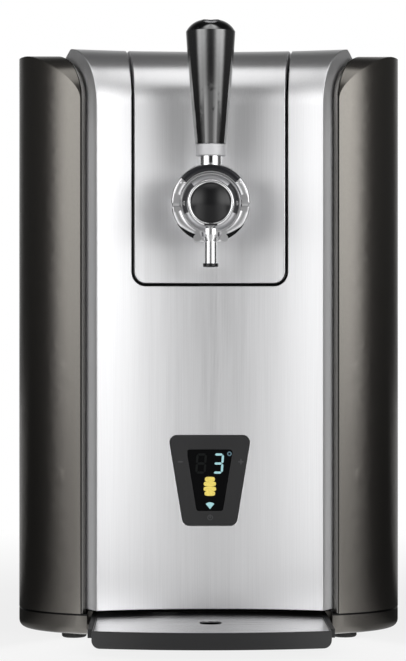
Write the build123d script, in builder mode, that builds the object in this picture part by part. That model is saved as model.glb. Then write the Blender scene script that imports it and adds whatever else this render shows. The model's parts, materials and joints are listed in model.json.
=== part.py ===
from build123d import *
import math
import os

# Counter-top dispenser for a small beer keg: a cooled keg chamber under a hinged lid that
# carries the tap, dark side shells round a bright concave front, and a drip tray on rails.
# +X is to the right seen from the front, the front looks towards -Y, +Z is up, and the
# origin is under the middle of the whole object, on the surface that it stands on.

os.makedirs("parts", exist_ok=True)

# ---------------------------------------------------------------- driving dimensions, mm
width = 280
half = width / 2
front_y = -145                   # plane of the two front creases
rear_y = 235
gap = 0.2                        # seam between pieces that are screwed or clipped together
open_seam = 0.7                  # wider seam between each side shell and its trim strip

# bright front body
face_half = 80.6                 # half width between the creases
face_dip = 12.8                  # how far the middle of the face lies behind the creases
body_half = 106.8
flare_depth = 45.5
flare_round = 40                 # plan radius where the flare turns straight
body_low = 21.7
top_z = 427
roll_radius = 44
skin = 2.5
hem_depth = 12                   # turned-down edges of the front panel and the lid
edge_run = 6                     # bevel along the two top edges
edge_drop = 8
frame_end_y = 105

# dark side shells
shell_front = front_y + 8
shell_top = 422
shell_wall = 3
seam_z = 19
flank_start = front_y + 64
quarter_a = 84.7                 # half axes of the front quarters in plan
quarter_b = 62.5
rear_corner = 34
shell_roll = 34
rear_top_roll = 14
reveal = 1.2                     # dark gap beside the front body
trim_reach = 6.3
trim_depth = 9
trim_bevel = 4.6

# keg chamber
keg_y = 15
chamber_r = 97
mouth_r = 96                     # round mouth that the lid's plug dips into
liner_wall = 1.5
liner_floor = 85
liner_top = 372
foam_r = 122
foam_low = 62
collar_z = 398
recess_y = -112                  # wall behind the lid's tongue

# lid
lid_gap = 2.2
lid_r = 96.2
tongue_half = 52.9
tongue_flare = 0.13
tongue_low = 256
tongue_corner = 8
plug_r = 92.5
plug_low = 383
hinge_y = 121
hinge_z = 418
barrel_r = 8.8
pin_r = 2.5
running = 0.05
knuckle_in = 14
knuckle_out = 38

# tap
tap_z = 311
tap_y = -177                     # plane of the pivot, the handle and the spout
ring_r = 27.7
ring_in = 21.7
ring_half_depth = 6
dish_r = 21.2
medallion_r = 14
spout_r = 4.6
spout_low = 266.4
grip_top = 439

# drip tray
tray_front = -225
tray_bow = 10
tray_rear = -112
tray_half = 81.8
wing_half = 85
tray_low = 5.8
tray_top = 17.6
wing_low = 11
plate_thick = 1.6
slot_half = 88

# cooling unit
cool_z = 200
fan_half = 40
fan_y = 190
frame_y = 215

# base
foot_h = 4
foot_pitch_x = 196
foot_pitch_y = 270
foot_mid_y = 20

# ---------------------------------------------------------------- shared forms
face_radius = (face_half**2 + face_dip**2) / (2 * face_dip)
face_centre_y = front_y + face_dip - face_radius
face_mid_y = front_y + face_dip
block_half = 116
quarter_x = half - quarter_a


def rolled_block(inset=0.0):
    """Block behind the concave front face, with its top front edge rolled over."""
    radius = face_radius + inset
    reach = math.degrees(math.asin(block_half / radius))
    with BuildPart() as block:
        with BuildSketch():
            with BuildLine():
                face = CenterArc((0, face_centre_y), radius, 90 - reach, 2 * reach)
                Polyline(face @ 1, (-block_half, rear_y), (block_half, rear_y), face @ 0)
            make_face()
        extrude(amount=top_z - inset)
        front_edge = block.edges().filter_by(GeomType.CIRCLE).sort_by(Axis.Z)[-1]
        fillet(front_edge, roll_radius - inset)
    return block.part


def body_prism(grow, back, low, high):
    """Prism on the plan of the front body: concave face, flared sides, then straight back."""
    flare_y = front_y + flare_depth
    with BuildPart() as prism:
        with BuildSketch(Plane.XY.offset(low)) as plan:
            with BuildLine():
                ThreePointArc((-face_half, front_y), (0, face_mid_y), (face_half, front_y))
                Polyline((face_half, front_y), (body_half, flare_y), (body_half, back))
                Line((body_half, back), (-body_half, back))
                Polyline((-body_half, back), (-body_half, flare_y), (-face_half, front_y))
            make_face()
            fillet(plan.vertices().filter_by(lambda v: abs(v.Y - flare_y) < 1), flare_round)
            if grow:
                offset(amount=grow, kind=Kind.INTERSECTION)
        extrude(amount=high - low)
    return prism.part


def shell_plan(inset):
    """Plan of the dark housing: elliptical front quarters, straight flanks, round rear corners."""
    a = quarter_a - inset
    b = quarter_b - inset
    start = math.degrees(math.asin((flank_start - shell_front - inset) / b))
    corner = rear_corner - inset
    corner_y = rear_y - rear_corner
    with BuildSketch() as plan:
        with BuildLine():
            quarter = EllipticalCenterArc((quarter_x, flank_start), a, b, -start, arc_size=start)
            flank = Line(quarter @ 1, (half - inset, corner_y))
            turn = CenterArc((half - rear_corner, corner_y), corner, 0, 90)
            Line(turn @ 1, (0, rear_y - inset))
            Line((0, shell_front + inset), quarter @ 0)
            mirror(about=Plane.YZ)
        make_face()
    return plan.sketch


def side_form(inset=0.0):
    """Closed dark housing: its plan, with the top rolled over at the front and the rear."""
    front = shell_front + inset
    rear = rear_y - inset
    top = shell_top - inset
    roll_y = shell_front + shell_roll
    with BuildPart() as form:
        with BuildSketch(Plane.XY.offset(seam_z)):
            add(shell_plan(inset))
        extrude(amount=top - seam_z)
        with BuildSketch(Plane.YZ.offset(-half)):
            with BuildLine():
                Line((front, 0), (front, shell_top - shell_roll))
                CenterArc((roll_y, shell_top - shell_roll), shell_roll - inset, 90, 90)
                Line((roll_y, top), (rear_y - rear_top_roll, top))
                CenterArc((rear_y - rear_top_roll, shell_top - rear_top_roll), rear_top_roll - inset,
                          0, 90)
                Polyline((rear, shell_top - rear_top_roll), (rear, 0), (front, 0))
            make_face()
        extrude(amount=width, mode=Mode.INTERSECT)
    return form.part


def tongue_plan(grow):
    """Trapezium of the lid's tongue, wider to the rear."""
    near_y = front_y - 10
    near = tongue_half - 10 * tongue_flare + grow
    far = tongue_half + (keg_y - front_y) * tongue_flare + grow
    with BuildSketch() as plan:
        with BuildLine():
            Polyline((-near, near_y), (near, near_y), (far, keg_y), (-far, keg_y), close=True)
        make_face()
    return plan.sketch


def lid_block(grow=0.0, disc_low=collar_z):
    """Keyhole block: the tongue down the front, joined to a disc over the keg chamber."""
    low = tongue_low - grow
    with BuildPart() as block:
        with BuildSketch(Plane.XY.offset(low)):
            add(tongue_plan(grow))
        extrude(amount=top_z + 5 - low)
        low_sides = block.edges().group_by(Axis.Z)[0].sort_by(Axis.X)
        fillet([low_sides[0], low_sides[-1]], tongue_corner + grow)
        with BuildSketch(Plane.XY.offset(disc_low)) as keyhole:
            add(tongue_plan(grow))
            with Locations((0, keg_y)):
                Circle(lid_r + grow)
            waist = keyhole.vertices().filter_by(lambda v: front_y + 40 < v.Y < keg_y - 20)
            fillet(waist, 10 - grow)
        extrude(amount=top_z + 5 - disc_low)
    return block.part


body_block = rolled_block()
skin_block = rolled_block(skin)
form_outer = side_form()
form_inner = side_form(shell_wall)
lid_pocket = lid_block(lid_gap)

# ---------------------------------------------------------------- front panel
bezel_top = 146.4
bezel_low = 82.1
bezel_half_top = 29.35
bezel_half_low = 18.8
bezel_corner = 4.8
window_top = 136.5
window_low = 92.3
window_half_top = 16.75
window_half_low = 9.5


def shield_prism(top, low, half_top, half_low, corner, grow=0.0):
    """Prism along Y on a trapezium with round corners, standing on its narrow side."""
    with BuildPart() as prism:
        with BuildSketch(Plane.XZ.offset(-front_y - 40)) as outline:
            with BuildLine():
                Polyline((-half_low, low), (half_low, low), (half_top, top), (-half_top, top), close=True)
            make_face()
            fillet(outline.vertices(), corner)
            if grow:
                offset(amount=grow)
        extrude(amount=80)
    return prism.part


with BuildPart() as front_panel:
    add(body_prism(0, frame_end_y, body_low, top_z))
    add(body_block, mode=Mode.INTERSECT)
    for side in (-1, 1):
        with BuildSketch(Plane.XZ.offset(-frame_end_y)):
            with BuildLine():
                Polyline((side * (body_half - edge_run), top_z), (side * body_half, top_z - edge_drop),
                         (side * (body_half + 9), top_z - edge_drop), (side * (body_half + 9), top_z + 9),
                         (side * (body_half - edge_run), top_z + 9), close=True)
            make_face()
        extrude(amount=frame_end_y - front_y, mode=Mode.SUBTRACT)
    with BuildPart(mode=Mode.PRIVATE) as hollow:
        add(body_prism(-skin, frame_end_y + 5, 0, top_z))
        add(skin_block, mode=Mode.INTERSECT)
    add(hollow.part, mode=Mode.SUBTRACT)
    with BuildPart(mode=Mode.PRIVATE) as hem:
        add(lid_block(lid_gap + 1.8))
        add(rolled_block(skin / 2), mode=Mode.INTERSECT)
        add(rolled_block(hem_depth + 2), mode=Mode.SUBTRACT)
        with Locations((0, frame_end_y + 50, top_z)):
            Box(width, 100, 100, mode=Mode.SUBTRACT)
    add(hem.part)
    with Locations((0, front_y + flare_depth + 200, 0)):
        Box(width, 400, 2 * (top_z - hem_depth - 2), mode=Mode.SUBTRACT)
    add(lid_pocket, mode=Mode.SUBTRACT)
    add(shield_prism(bezel_top, bezel_low, bezel_half_top, bezel_half_low, bezel_corner, gap),
        mode=Mode.SUBTRACT)
front_panel.part.label = "front_panel"
export_step(front_panel.part, "parts/front_panel.step")

# ---------------------------------------------------------------- side shells and trim strips
seam_prism = body_prism(trim_reach, rear_y + 20, 0, top_z + 5)
reveal_prism = body_prism(reveal, rear_y + 20, 0, top_z + 5)
trim_edge_prism = body_prism(trim_reach - open_seam, rear_y + 20, 0, top_z + 5)
form_deep = side_form(trim_depth)

for side_name, side in (("left", -1), ("right", 1)):
    with BuildPart() as side_shell:
        add(form_outer)
        add(form_inner, mode=Mode.SUBTRACT)
        add(seam_prism, mode=Mode.SUBTRACT)
        with Locations((-side * half, 0, 0)):
            Box(width, 2 * width + 200, 3 * top_z, mode=Mode.SUBTRACT)
    side_shell.part.label = f"{side_name}_side_shell"
    export_step(side_shell.part, f"parts/{side_name}_side_shell.step")

    with BuildPart() as trim_strip:
        add(form_outer)
        add(reveal_prism, mode=Mode.SUBTRACT)
        with Locations((-side * (half - face_half), 0, 0)):
            Box(width, 2 * width + 200, 3 * top_z, mode=Mode.SUBTRACT)
        inner_wall = trim_strip.faces().filter_by(lambda f: side * f.normal_at().X < -0.8)
        open_edges = inner_wall.edges().filter_by(lambda e: e.center().Z > seam_z + 1)
        folds = open_edges.filter_by(Axis.Z).filter_by(lambda e: e.center().Y > shell_front + 1)
        rear_edges = open_edges.filter_by(lambda e: e.center().Y > rear_y - rear_top_roll)
        chamfer(open_edges - folds - rear_edges, trim_bevel)
        add(trim_edge_prism, mode=Mode.INTERSECT)
        add(form_deep, mode=Mode.SUBTRACT)
    trim_strip.part.label = f"{side_name}_trim_strip"
    export_step(trim_strip.part, f"parts/{side_name}_trim_strip.step")

# ---------------------------------------------------------------- base, feet and rear cover
base_wall = 3
base_inset = 0.8                 # the base stands this much inside the shells
base_bevel = 4
recess_rear = tray_rear + 4
foot_plug_r = 5
inlet_x = 62
inlet_z = 46

with BuildPart() as base:
    with BuildSketch(Plane.XY.offset(foot_h)):
        add(shell_plan(base_inset))
    extrude(amount=seam_z - gap - foot_h)
    chamfer(base.faces().sort_by(Axis.Z)[0].edges(), base_bevel)
    with BuildSketch(Plane.XY.offset(foot_h + base_wall)):
        add(shell_plan(base_inset + base_wall))
        with Locations((0, recess_rear - 50 + base_wall)):
            Rectangle(2 * slot_half + 2 * base_wall, 100, mode=Mode.SUBTRACT)
    extrude(amount=seam_z, mode=Mode.SUBTRACT)
    with Locations((0, recess_rear - 50, seam_z / 2)):
        Box(2 * slot_half, 100, 2 * seam_z, mode=Mode.SUBTRACT)
    # rails that the tray's wings rest on
    for side in (-1, 1):
        with Locations((side * (slot_half - 2.5), recess_rear - 12, wing_low - 2)):
            Box(5.4, 24, 3.4)
    # screw posts of the side shells
    with BuildSketch(Plane.XY.offset(foot_h + base_wall)):
        with Locations((0, 45)):
            with GridLocations(foot_pitch_x, 290, 2, 2):
                Circle(7)
                Circle(1.6, mode=Mode.SUBTRACT)
    extrude(amount=7)
    # air intake under the electronics, and the holes of the feet
    with BuildSketch(Plane.XY.offset(foot_h)):
        with Locations((0, 60)):
            with GridLocations(14, 0, 9, 1):
                SlotOverall(60, 4, rotation=90)
        with Locations((0, foot_mid_y)):
            with GridLocations(foot_pitch_x, foot_pitch_y, 2, 2):
                Circle(foot_plug_r)
    extrude(amount=base_wall, mode=Mode.SUBTRACT)
base.part.label = "base"
export_step(base.part, "parts/base.step")

with BuildPart() as rubber_feet:
    with BuildSketch():
        with Locations((0, foot_mid_y)):
            with GridLocations(foot_pitch_x, foot_pitch_y, 2, 2):
                Circle(9)
    extrude(amount=foot_h)
    chamfer(rubber_feet.faces().sort_by(Axis.Z)[:4].edges(), 1)
    with BuildSketch(Plane.XY.offset(foot_h)):
        with Locations((0, foot_mid_y)):
            with GridLocations(foot_pitch_x, foot_pitch_y, 2, 2):
                Circle(foot_plug_r)
    extrude(amount=base_wall)
rubber_feet.part.label = "rubber_feet"
export_step(rubber_feet.part, "parts/rubber_feet.step")

deck_half = body_half + reveal - 0.4
screw_x = 94
screw_zs = (34, 396)
grille_r = 37
slot_pitch = 6.4
hinge_box_half = 50
groove_r = barrel_r + 0.7

with BuildPart() as rear_cover:
    add(form_outer)
    add(form_inner, mode=Mode.SUBTRACT)
    with Locations((0, (frame_end_y + gap + rear_y) / 2 + 10, top_z / 2)):
        Box(2 * deck_half, rear_y - frame_end_y - gap + 20, top_z + 20, mode=Mode.INTERSECT)
    add(lid_pocket, mode=Mode.SUBTRACT)
    with Locations((0, hinge_y - 2, hinge_z)):
        Box(2 * hinge_box_half + 0.4, 34, 30, mode=Mode.SUBTRACT)
    with BuildSketch(Plane.XZ.offset(-rear_y)):
        for row in range(-5, 6):
            rise = row * slot_pitch
            chord = 2 * math.sqrt(grille_r**2 - rise**2)
            with Locations((0, cool_z + rise)):
                SlotOverall(chord, 3.4)
        with Locations((-55, 62)):
            with GridLocations(0, 7, 1, 6):
                SlotOverall(60, 3.4)
    extrude(amount=shell_wall + 2, both=True, mode=Mode.SUBTRACT)
    with BuildSketch(Plane.XZ.offset(-rear_y)):
        with Locations((inlet_x, inlet_z)):
            RectangleRounded(34.4, 24.4, 3.2)
    extrude(amount=shell_wall + 2, both=True, mode=Mode.SUBTRACT)
    for screw_z in screw_zs:
        for side in (-1, 1):
            with Locations(Plane((side * screw_x, rear_y, screw_z), x_dir=(1, 0, 0), z_dir=(0, 1, 0))):
                CounterBoreHole(1.7, 3.4, 1.6, depth=shell_wall + 1)
rear_cover.part.label = "rear_cover"
export_step(rear_cover.part, "parts/rear_cover.step")

with BuildPart() as rear_screws:
    for screw_z in screw_zs:
        for side in (-1, 1):
            with BuildSketch(Plane.XZ.offset(-(rear_y - 1.6))):
                with Locations((side * screw_x, screw_z)):
                    Circle(3)
            extrude(amount=-1.5)
            with BuildSketch(Plane.XZ.offset(-(rear_y - 1.6))):
                with Locations((side * screw_x, screw_z)):
                    Circle(1.5)
            extrude(amount=10)
rear_screws.part.label = "rear_screws"
export_step(rear_screws.part, "parts/rear_screws.step")

frame_out_x = 101
frame_bar = 13
frame_height = 401
frame_thick = rear_y - base_wall - 1 - frame_y

with BuildPart() as chassis_frame:
    with BuildSketch(Plane.XZ.offset(-frame_y)):
        with Locations((0, foot_h + base_wall + frame_height / 2)):
            Rectangle(2 * frame_out_x, frame_height)
            Rectangle(2 * (frame_out_x - frame_bar), frame_height - 2 * frame_bar, mode=Mode.SUBTRACT)
        for level in (cool_z - fan_half - 4, cool_z + fan_half + 4):
            with Locations((0, level)):
                Rectangle(2 * frame_out_x - 2, 10)
        for side in (-1, 1):
            with Locations((side * (fan_half + 4), cool_z)):
                Rectangle(10, 2 * fan_half + 10)
    extrude(amount=-frame_thick)
    with BuildSketch(Plane.XZ.offset(-rear_y)):
        for screw_z in screw_zs:
            for side in (-1, 1):
                with Locations((side * screw_x, screw_z)):
                    Circle(1.52)
    extrude(amount=16, mode=Mode.SUBTRACT)
    with Locations((inlet_x, rear_y - 10, inlet_z)):
        Box(36, 40, 26, mode=Mode.SUBTRACT)
chassis_frame.part.label = "chassis_frame"
export_step(chassis_frame.part, "parts/chassis_frame.step")

# ---------------------------------------------------------------- keg chamber
liner_r = chamber_r + liner_wall
chamber_floor = liner_floor + 2.5
saddle_half = 20
nozzle_r = 6

with BuildPart() as keg_liner:
    with BuildSketch(Plane.XZ.offset(-keg_y)):
        with BuildLine():
            FilletPolyline((0, liner_floor), (liner_r, liner_floor), (liner_r, liner_top), radius=6)
            Line((liner_r, liner_top), (chamber_r, liner_top))
            FilletPolyline((chamber_r, liner_top), (chamber_r, chamber_floor), (0, chamber_floor),
                           radius=4.5)
            Line((0, chamber_floor), (0, liner_floor))
        make_face()
    revolve(axis=Axis((0, keg_y, 0), (0, 0, 1)))
    with Locations((0, keg_y, liner_floor)):
        Cylinder(nozzle_r + 0.1, 10, mode=Mode.SUBTRACT)
keg_liner.part.label = "keg_liner"
export_step(keg_liner.part, "parts/keg_liner.step")

with BuildPart() as foam_jacket:
    with BuildSketch(Plane.XY.offset(foam_low)):
        with Locations((0, keg_y)):
            Circle(foam_r)
    extrude(amount=collar_z - 3 - gap - foam_low)
    with BuildSketch(Plane.XY.offset(liner_floor - 0.2)):
        with Locations((0, keg_y)):
            Circle(liner_r + 0.4)
    extrude(amount=collar_z, mode=Mode.SUBTRACT)
    with Locations((0, keg_y + foam_r, cool_z)):
        Box(2 * saddle_half + 0.6, 80, 2 * saddle_half + 0.6, mode=Mode.SUBTRACT)
    with Locations((0, keg_y, foam_low)):
        Cylinder(nozzle_r + 0.4, 80, mode=Mode.SUBTRACT)
foam_jacket.part.label = "foam_jacket"
export_step(foam_jacket.part, "parts/foam_jacket.step")

collar_hug = lid_gap + 2.0
collar_reach = lid_gap + 3.8

with BuildPart() as chamber_collar:
    add(lid_block(collar_reach, collar_z - 3))
    add(rolled_block(skin + 0.3), mode=Mode.INTERSECT)
    with Locations((0, recess_y + 2 + 150, 0)):
        Box(2 * width, 300, 2 * (collar_z - 3), mode=Mode.SUBTRACT)
    with BuildPart(mode=Mode.PRIVATE) as tub:
        add(lid_block(collar_hug, collar_z))
        with Locations((0, recess_y + 150, 0)):
            Box(2 * width, 300, 2 * collar_z, mode=Mode.SUBTRACT)
    add(tub.part, mode=Mode.SUBTRACT)
    with Locations((0, keg_y, collar_z - 13)):
        Cylinder(liner_r, 26)
        Cylinder(mouth_r, 80, mode=Mode.SUBTRACT)
    with Locations((0, hinge_y + 22, hinge_z)):
        Box(2 * hinge_box_half + 4, 80, 2 * (hinge_z - collar_z), mode=Mode.SUBTRACT)
    with BuildSketch(Plane.XZ.offset(-recess_y + 5)):
        with Locations((0, 372)):
            SlotOverall(110, 18, rotation=90)
    extrude(amount=-25, mode=Mode.SUBTRACT)
chamber_collar.part.label = "chamber_collar"
export_step(chamber_collar.part, "parts/chamber_collar.step")

seat_top = 94

with BuildPart() as keg_seat:
    with BuildSketch(Plane.XY.offset(chamber_floor)):
        with Locations((0, keg_y)):
            Circle(72)
            Circle(60, mode=Mode.SUBTRACT)
    extrude(amount=seat_top - chamber_floor)
    with BuildSketch(Plane.XY.offset(seat_top - 3)):
        with Locations((0, keg_y)):
            with PolarLocations(66, 6):
                Rectangle(16, 12)
    extrude(amount=3, mode=Mode.SUBTRACT)
keg_seat.part.label = "keg_seat"
export_step(keg_seat.part, "parts/keg_seat.step")

nozzle_bore = 1.5
barb_low = 56
stem_low = 64
stem_r = 5
nozzle_tip = 102

with BuildPart() as air_nozzle:
    with BuildSketch(Plane.XZ.offset(-keg_y)):
        with BuildLine():
            Polyline((nozzle_bore, barb_low), (4, barb_low), (4, barb_low + 4), (3, barb_low + 5),
                     (3, stem_low), (nozzle_r, stem_low), (nozzle_r, chamber_floor),
                     (nozzle_r + 3, chamber_floor), (nozzle_r + 3, liner_floor + 5),
                     (stem_r, liner_floor + 7), (stem_r, nozzle_tip - 4), (3, nozzle_tip),
                     (nozzle_bore, nozzle_tip), close=True)
        make_face()
    revolve(axis=Axis((0, keg_y, 0), (0, 0, 1)))
air_nozzle.part.label = "air_nozzle"
export_step(air_nozzle.part, "parts/air_nozzle.step")

with BuildPart() as nozzle_seal:
    with BuildSketch(Plane.XZ.offset(-keg_y)):
        with Locations((6.6, liner_floor + 9.5)):
            Circle(1.6)
    revolve(axis=Axis((0, keg_y, 0), (0, 0, 1)))
nozzle_seal.part.label = "nozzle_seal"
export_step(nozzle_seal.part, "parts/nozzle_seal.step")

# ---------------------------------------------------------------- air supply and electrics
floor_z = foot_h + base_wall
pump_x = -58
pump_y = 20
hose_r = 2.6

with BuildPart() as air_pump:
    with Locations((pump_x, pump_y, floor_z + 16)):
        Box(34, 30, 32)
    fillet(air_pump.edges().filter_by(Axis.Y), 4)
    with Locations((pump_x, pump_y - 15, floor_z + 16)):
        with Locations(Rotation(90, 0, 0)):
            Cylinder(12.5, 34, align=(Align.CENTER, Align.CENTER, Align.MIN))
            Cylinder(5, 38, align=(Align.CENTER, Align.CENTER, Align.MIN))
    with Locations((pump_x, pump_y, floor_z + 32)):
        Cylinder(hose_r + 0.6, 5, align=(Align.CENTER, Align.CENTER, Align.MIN))
        Cylinder(1.2, 5, align=(Align.CENTER, Align.CENTER, Align.MIN), mode=Mode.SUBTRACT)
air_pump.part.label = "air_pump"
export_step(air_pump.part, "parts/air_pump.step")

with BuildPart() as air_hose:
    with BuildLine() as hose_path:
        FilletPolyline((pump_x, pump_y, floor_z + 37), (pump_x, pump_y, 54), (0, keg_y, 44), (0, keg_y, 56),
                       radius=5)
    with BuildSketch(Plane((pump_x, pump_y, floor_z + 37), z_dir=(0, 0, 1))):
        Circle(hose_r)
    sweep()
air_hose.part.label = "air_hose"
export_step(air_hose.part, "parts/air_hose.step")

with BuildPart() as control_board:
    with Locations((-58, 120, floor_z + 8)):
        Box(80, 90, 1.6)
    with Locations((-58, 120, floor_z)):
        with GridLocations(70, 80, 2, 2):
            Cylinder(3, 8, align=(Align.CENTER, Align.CENTER, Align.MIN))
    with Locations((-70, 110, floor_z + 8.8)):
        Box(14, 14, 1.6, align=(Align.CENTER, Align.CENTER, Align.MIN))
    with Locations((-40, 150, floor_z + 8.8)):
        with GridLocations(16, 0, 2, 1):
            Box(12, 8, 9, align=(Align.CENTER, Align.CENTER, Align.MIN))
    with Locations((-35, 95, floor_z + 8.8)):
        with GridLocations(14, 14, 2, 2):
            Cylinder(4.5, 11, align=(Align.CENTER, Align.CENTER, Align.MIN))
control_board.part.label = "control_board"
export_step(control_board.part, "parts/control_board.step")

with BuildPart() as power_supply:
    with Locations((58, 60, floor_z)):
        Box(62, 120, 36, align=(Align.CENTER, Align.CENTER, Align.MIN))
    fillet(power_supply.edges().filter_by(Axis.Z), 2)
    with BuildSketch(Plane.XY.offset(floor_z + 36)):
        with Locations((58, 60)):
            with GridLocations(0, 10, 1, 9):
                SlotOverall(44, 4)
    extrude(amount=-4, mode=Mode.SUBTRACT)
power_supply.part.label = "power_supply"
export_step(power_supply.part, "parts/power_supply.step")

with BuildPart() as power_inlet:
    with BuildSketch(Plane.XZ.offset(-(rear_y - 0.4))):
        with Locations((inlet_x, inlet_z)):
            RectangleRounded(34, 24, 3)
    extrude(amount=26)
    with BuildSketch(Plane.XZ.offset(-(rear_y - 0.4))):
        with Locations((inlet_x, inlet_z)):
            RectangleRounded(24, 14, 4)
    extrude(amount=18, mode=Mode.SUBTRACT)
    with BuildSketch(Plane.XZ.offset(-(rear_y - 18.4))):
        with Locations((inlet_x, inlet_z)):
            with GridLocations(10, 0, 2, 1):
                Circle(1.2)
    extrude(amount=-12)
power_inlet.part.label = "power_inlet"
export_step(power_inlet.part, "parts/power_inlet.step")

# ---------------------------------------------------------------- cooling unit
saddle_y = 150
sink_y = 154
fin_count = 15

with BuildPart() as cold_block:
    with Locations((0, (keg_y + 70 + saddle_y) / 2, cool_z)):
        Box(2 * saddle_half, saddle_y - keg_y - 70, 2 * saddle_half)
    with Locations((0, keg_y, cool_z)):
        Cylinder(liner_r, 100, mode=Mode.SUBTRACT)
cold_block.part.label = "cold_block"
export_step(cold_block.part, "parts/cold_block.step")

with BuildPart() as peltier_module:
    with Locations((0, (saddle_y + sink_y) / 2, cool_z)):
        Box(40, sink_y - saddle_y, 40)
    with GridLocations(4.4, 0, 9, 1):
        with Locations((0, (saddle_y + sink_y) / 2, cool_z + 20)):
            Box(2.2, 2.4, 1.6, mode=Mode.SUBTRACT)
peltier_module.part.label = "peltier_module"
export_step(peltier_module.part, "parts/peltier_module.step")

with BuildPart() as heat_sink:
    with BuildSketch(Plane.XY.offset(cool_z - fan_half)):
        with Locations((0, sink_y + 2.5)):
            Rectangle(2 * fan_half, 5)
        with Locations((0, (sink_y + fan_y) / 2 + 2)):
            with GridLocations((2 * fan_half - 1.6) / (fin_count - 1), 0, fin_count, 1):
                Rectangle(1.6, fan_y - sink_y - 4)
    extrude(amount=2 * fan_half)
heat_sink.part.label = "heat_sink"
export_step(heat_sink.part, "parts/heat_sink.step")

fan_plane = Plane((0, fan_y, cool_z), x_dir=(1, 0, 0), z_dir=(0, 1, 0))
rotor_r = 36
hub_r = 15
axle_r = 2
strut_thick = 3
fan_depth = frame_y - fan_y

with BuildPart() as fan_housing:
    with BuildSketch(fan_plane):
        RectangleRounded(2 * fan_half, 2 * fan_half, 5)
        Circle(rotor_r + 1.5, mode=Mode.SUBTRACT)
        with GridLocations(71.5, 71.5, 2, 2):
            Circle(2.1, mode=Mode.SUBTRACT)
    extrude(amount=fan_depth)
    with BuildSketch(fan_plane.offset(fan_depth - strut_thick)):
        Circle(hub_r)
        with PolarLocations(0, 4, 45):
            with Locations((rotor_r / 2 + 6, 0)):
                Rectangle(rotor_r, 4)
    extrude(amount=strut_thick)
    with BuildSketch(fan_plane.offset(4)):
        Circle(axle_r)
    extrude(amount=fan_depth - strut_thick - 4)
fan_housing.part.label = "fan_housing"
export_step(fan_housing.part, "parts/fan_housing.step")

blade_count = 7
blade_low = 4
blade_high = 19

with BuildPart() as fan_rotor:
    with BuildSketch(fan_plane.offset(2)):
        Circle(hub_r)
    extrude(amount=blade_high)
    fillet(fan_rotor.edges().filter_by(GeomType.CIRCLE).sort_by(Axis.Y)[0], 1.5)
    for blade in range(blade_count):
        turn = blade * 360 / blade_count
        for level, lean in ((blade_low, 0), (blade_high, 24)):
            with BuildSketch(fan_plane.offset(level)):
                with PolarLocations(0, 1, turn + lean):
                    with Locations((rotor_r / 2 + 4, 0)):
                        SlotOverall(rotor_r - 8.4, 2.2)
        loft()
    with BuildSketch(fan_plane.offset(3)):
        Circle(axle_r + running)
    extrude(amount=blade_high, mode=Mode.SUBTRACT)
fan_rotor.part.label = "fan_rotor"
export_step(fan_rotor.part, "parts/fan_rotor.step")

with BuildPart() as fan_guard:
    with BuildSketch(fan_plane.offset(fan_depth)):
        Circle(fan_half - 1.2)
        Circle(fan_half - 2.8, mode=Mode.SUBTRACT)
    extrude(amount=frame_thick)
    with BuildSketch(fan_plane.offset(fan_depth + frame_thick - 2)):
        for ring in (10, 20, 30):
            Circle(ring + 0.8)
            Circle(ring - 0.8, mode=Mode.SUBTRACT)
        with PolarLocations(0, 3):
            Rectangle(2 * fan_half - 4, 1.8)
    extrude(amount=2)
fan_guard.part.label = "fan_guard"
export_step(fan_guard.part, "parts/fan_guard.step")

# ---------------------------------------------------------------- display
with BuildPart() as display_bezel:
    add(shield_prism(bezel_top, bezel_low, bezel_half_top, bezel_half_low, bezel_corner))
    add(rolled_block(-0.6), mode=Mode.INTERSECT)
    add(rolled_block(skin + 1), mode=Mode.SUBTRACT)
    add(shield_prism(window_top, window_low, window_half_top, window_half_low, 2), mode=Mode.SUBTRACT)
display_bezel.part.label = "display_bezel"
export_step(display_bezel.part, "parts/display_bezel.step")

with BuildPart() as display_window:
    add(shield_prism(window_top, window_low, window_half_top, window_half_low, 2))
    add(rolled_block(-0.3), mode=Mode.INTERSECT)
    add(rolled_block(2), mode=Mode.SUBTRACT)
display_window.part.label = "display_window"
export_step(display_window.part, "parts/display_window.step")

board_y = -121
board_z = (bezel_top + bezel_low) / 2

with BuildPart() as display_board:
    with Locations((0, board_y, board_z)):
        Box(60, 1.6, 70)
    with Locations((0, board_y - 0.8, board_z)):
        Box(34, 6, 46, align=(Align.CENTER, Align.MAX, Align.CENTER))
    with Locations((18, board_y + 0.8, board_z - 20)):
        Box(14, 6, 8, align=(Align.CENTER, Align.MIN, Align.CENTER))
display_board.part.label = "display_board"
export_step(display_board.part, "parts/display_board.step")

# ---------------------------------------------------------------- lid and its hinge
flange_r = 97.2                  # swings up through the front panel's opening with room to spare
flange_low = 401.6
flange_top = 411
gasket_low = collar_z + 0.3
cap_z = 415.6                    # top face of the plug's foam-filled cap
plug_hollow_r = 84
plug_ceiling = 405
shank_r = 8.8
hinge_axis = Plane((0, hinge_y, hinge_z), x_dir=(0, 1, 0), z_dir=(1, 0, 0))

with BuildPart() as lid_shell:
    add(lid_block())
    add(body_block, mode=Mode.INTERSECT)
    with BuildPart(mode=Mode.PRIVATE) as lid_hollow:
        add(lid_block(-2, collar_z - 10))
        add(skin_block, mode=Mode.INTERSECT)
    add(lid_hollow.part, mode=Mode.SUBTRACT)
    add(rolled_block(hem_depth), mode=Mode.SUBTRACT)
    for side in (-1, 1):
        with BuildSketch(hinge_axis.offset(side * (knuckle_in + knuckle_out) / 2)):
            Circle(barrel_r)
            with Locations((-12, (barrel_r - 2) / 2)):
                Rectangle(24, barrel_r + 2)
        extrude(amount=(knuckle_out - knuckle_in) / 2, both=True)
    with BuildSketch(hinge_axis):
        Circle(pin_r + running)
    extrude(amount=half, both=True, mode=Mode.SUBTRACT)
    with BuildSketch(Plane.XZ.offset(-recess_y)):
        with Locations((0, tap_z)):
            Circle(shank_r + 0.2)
    extrude(amount=60, mode=Mode.SUBTRACT)
lid_shell.part.label = "lid_shell"
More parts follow.
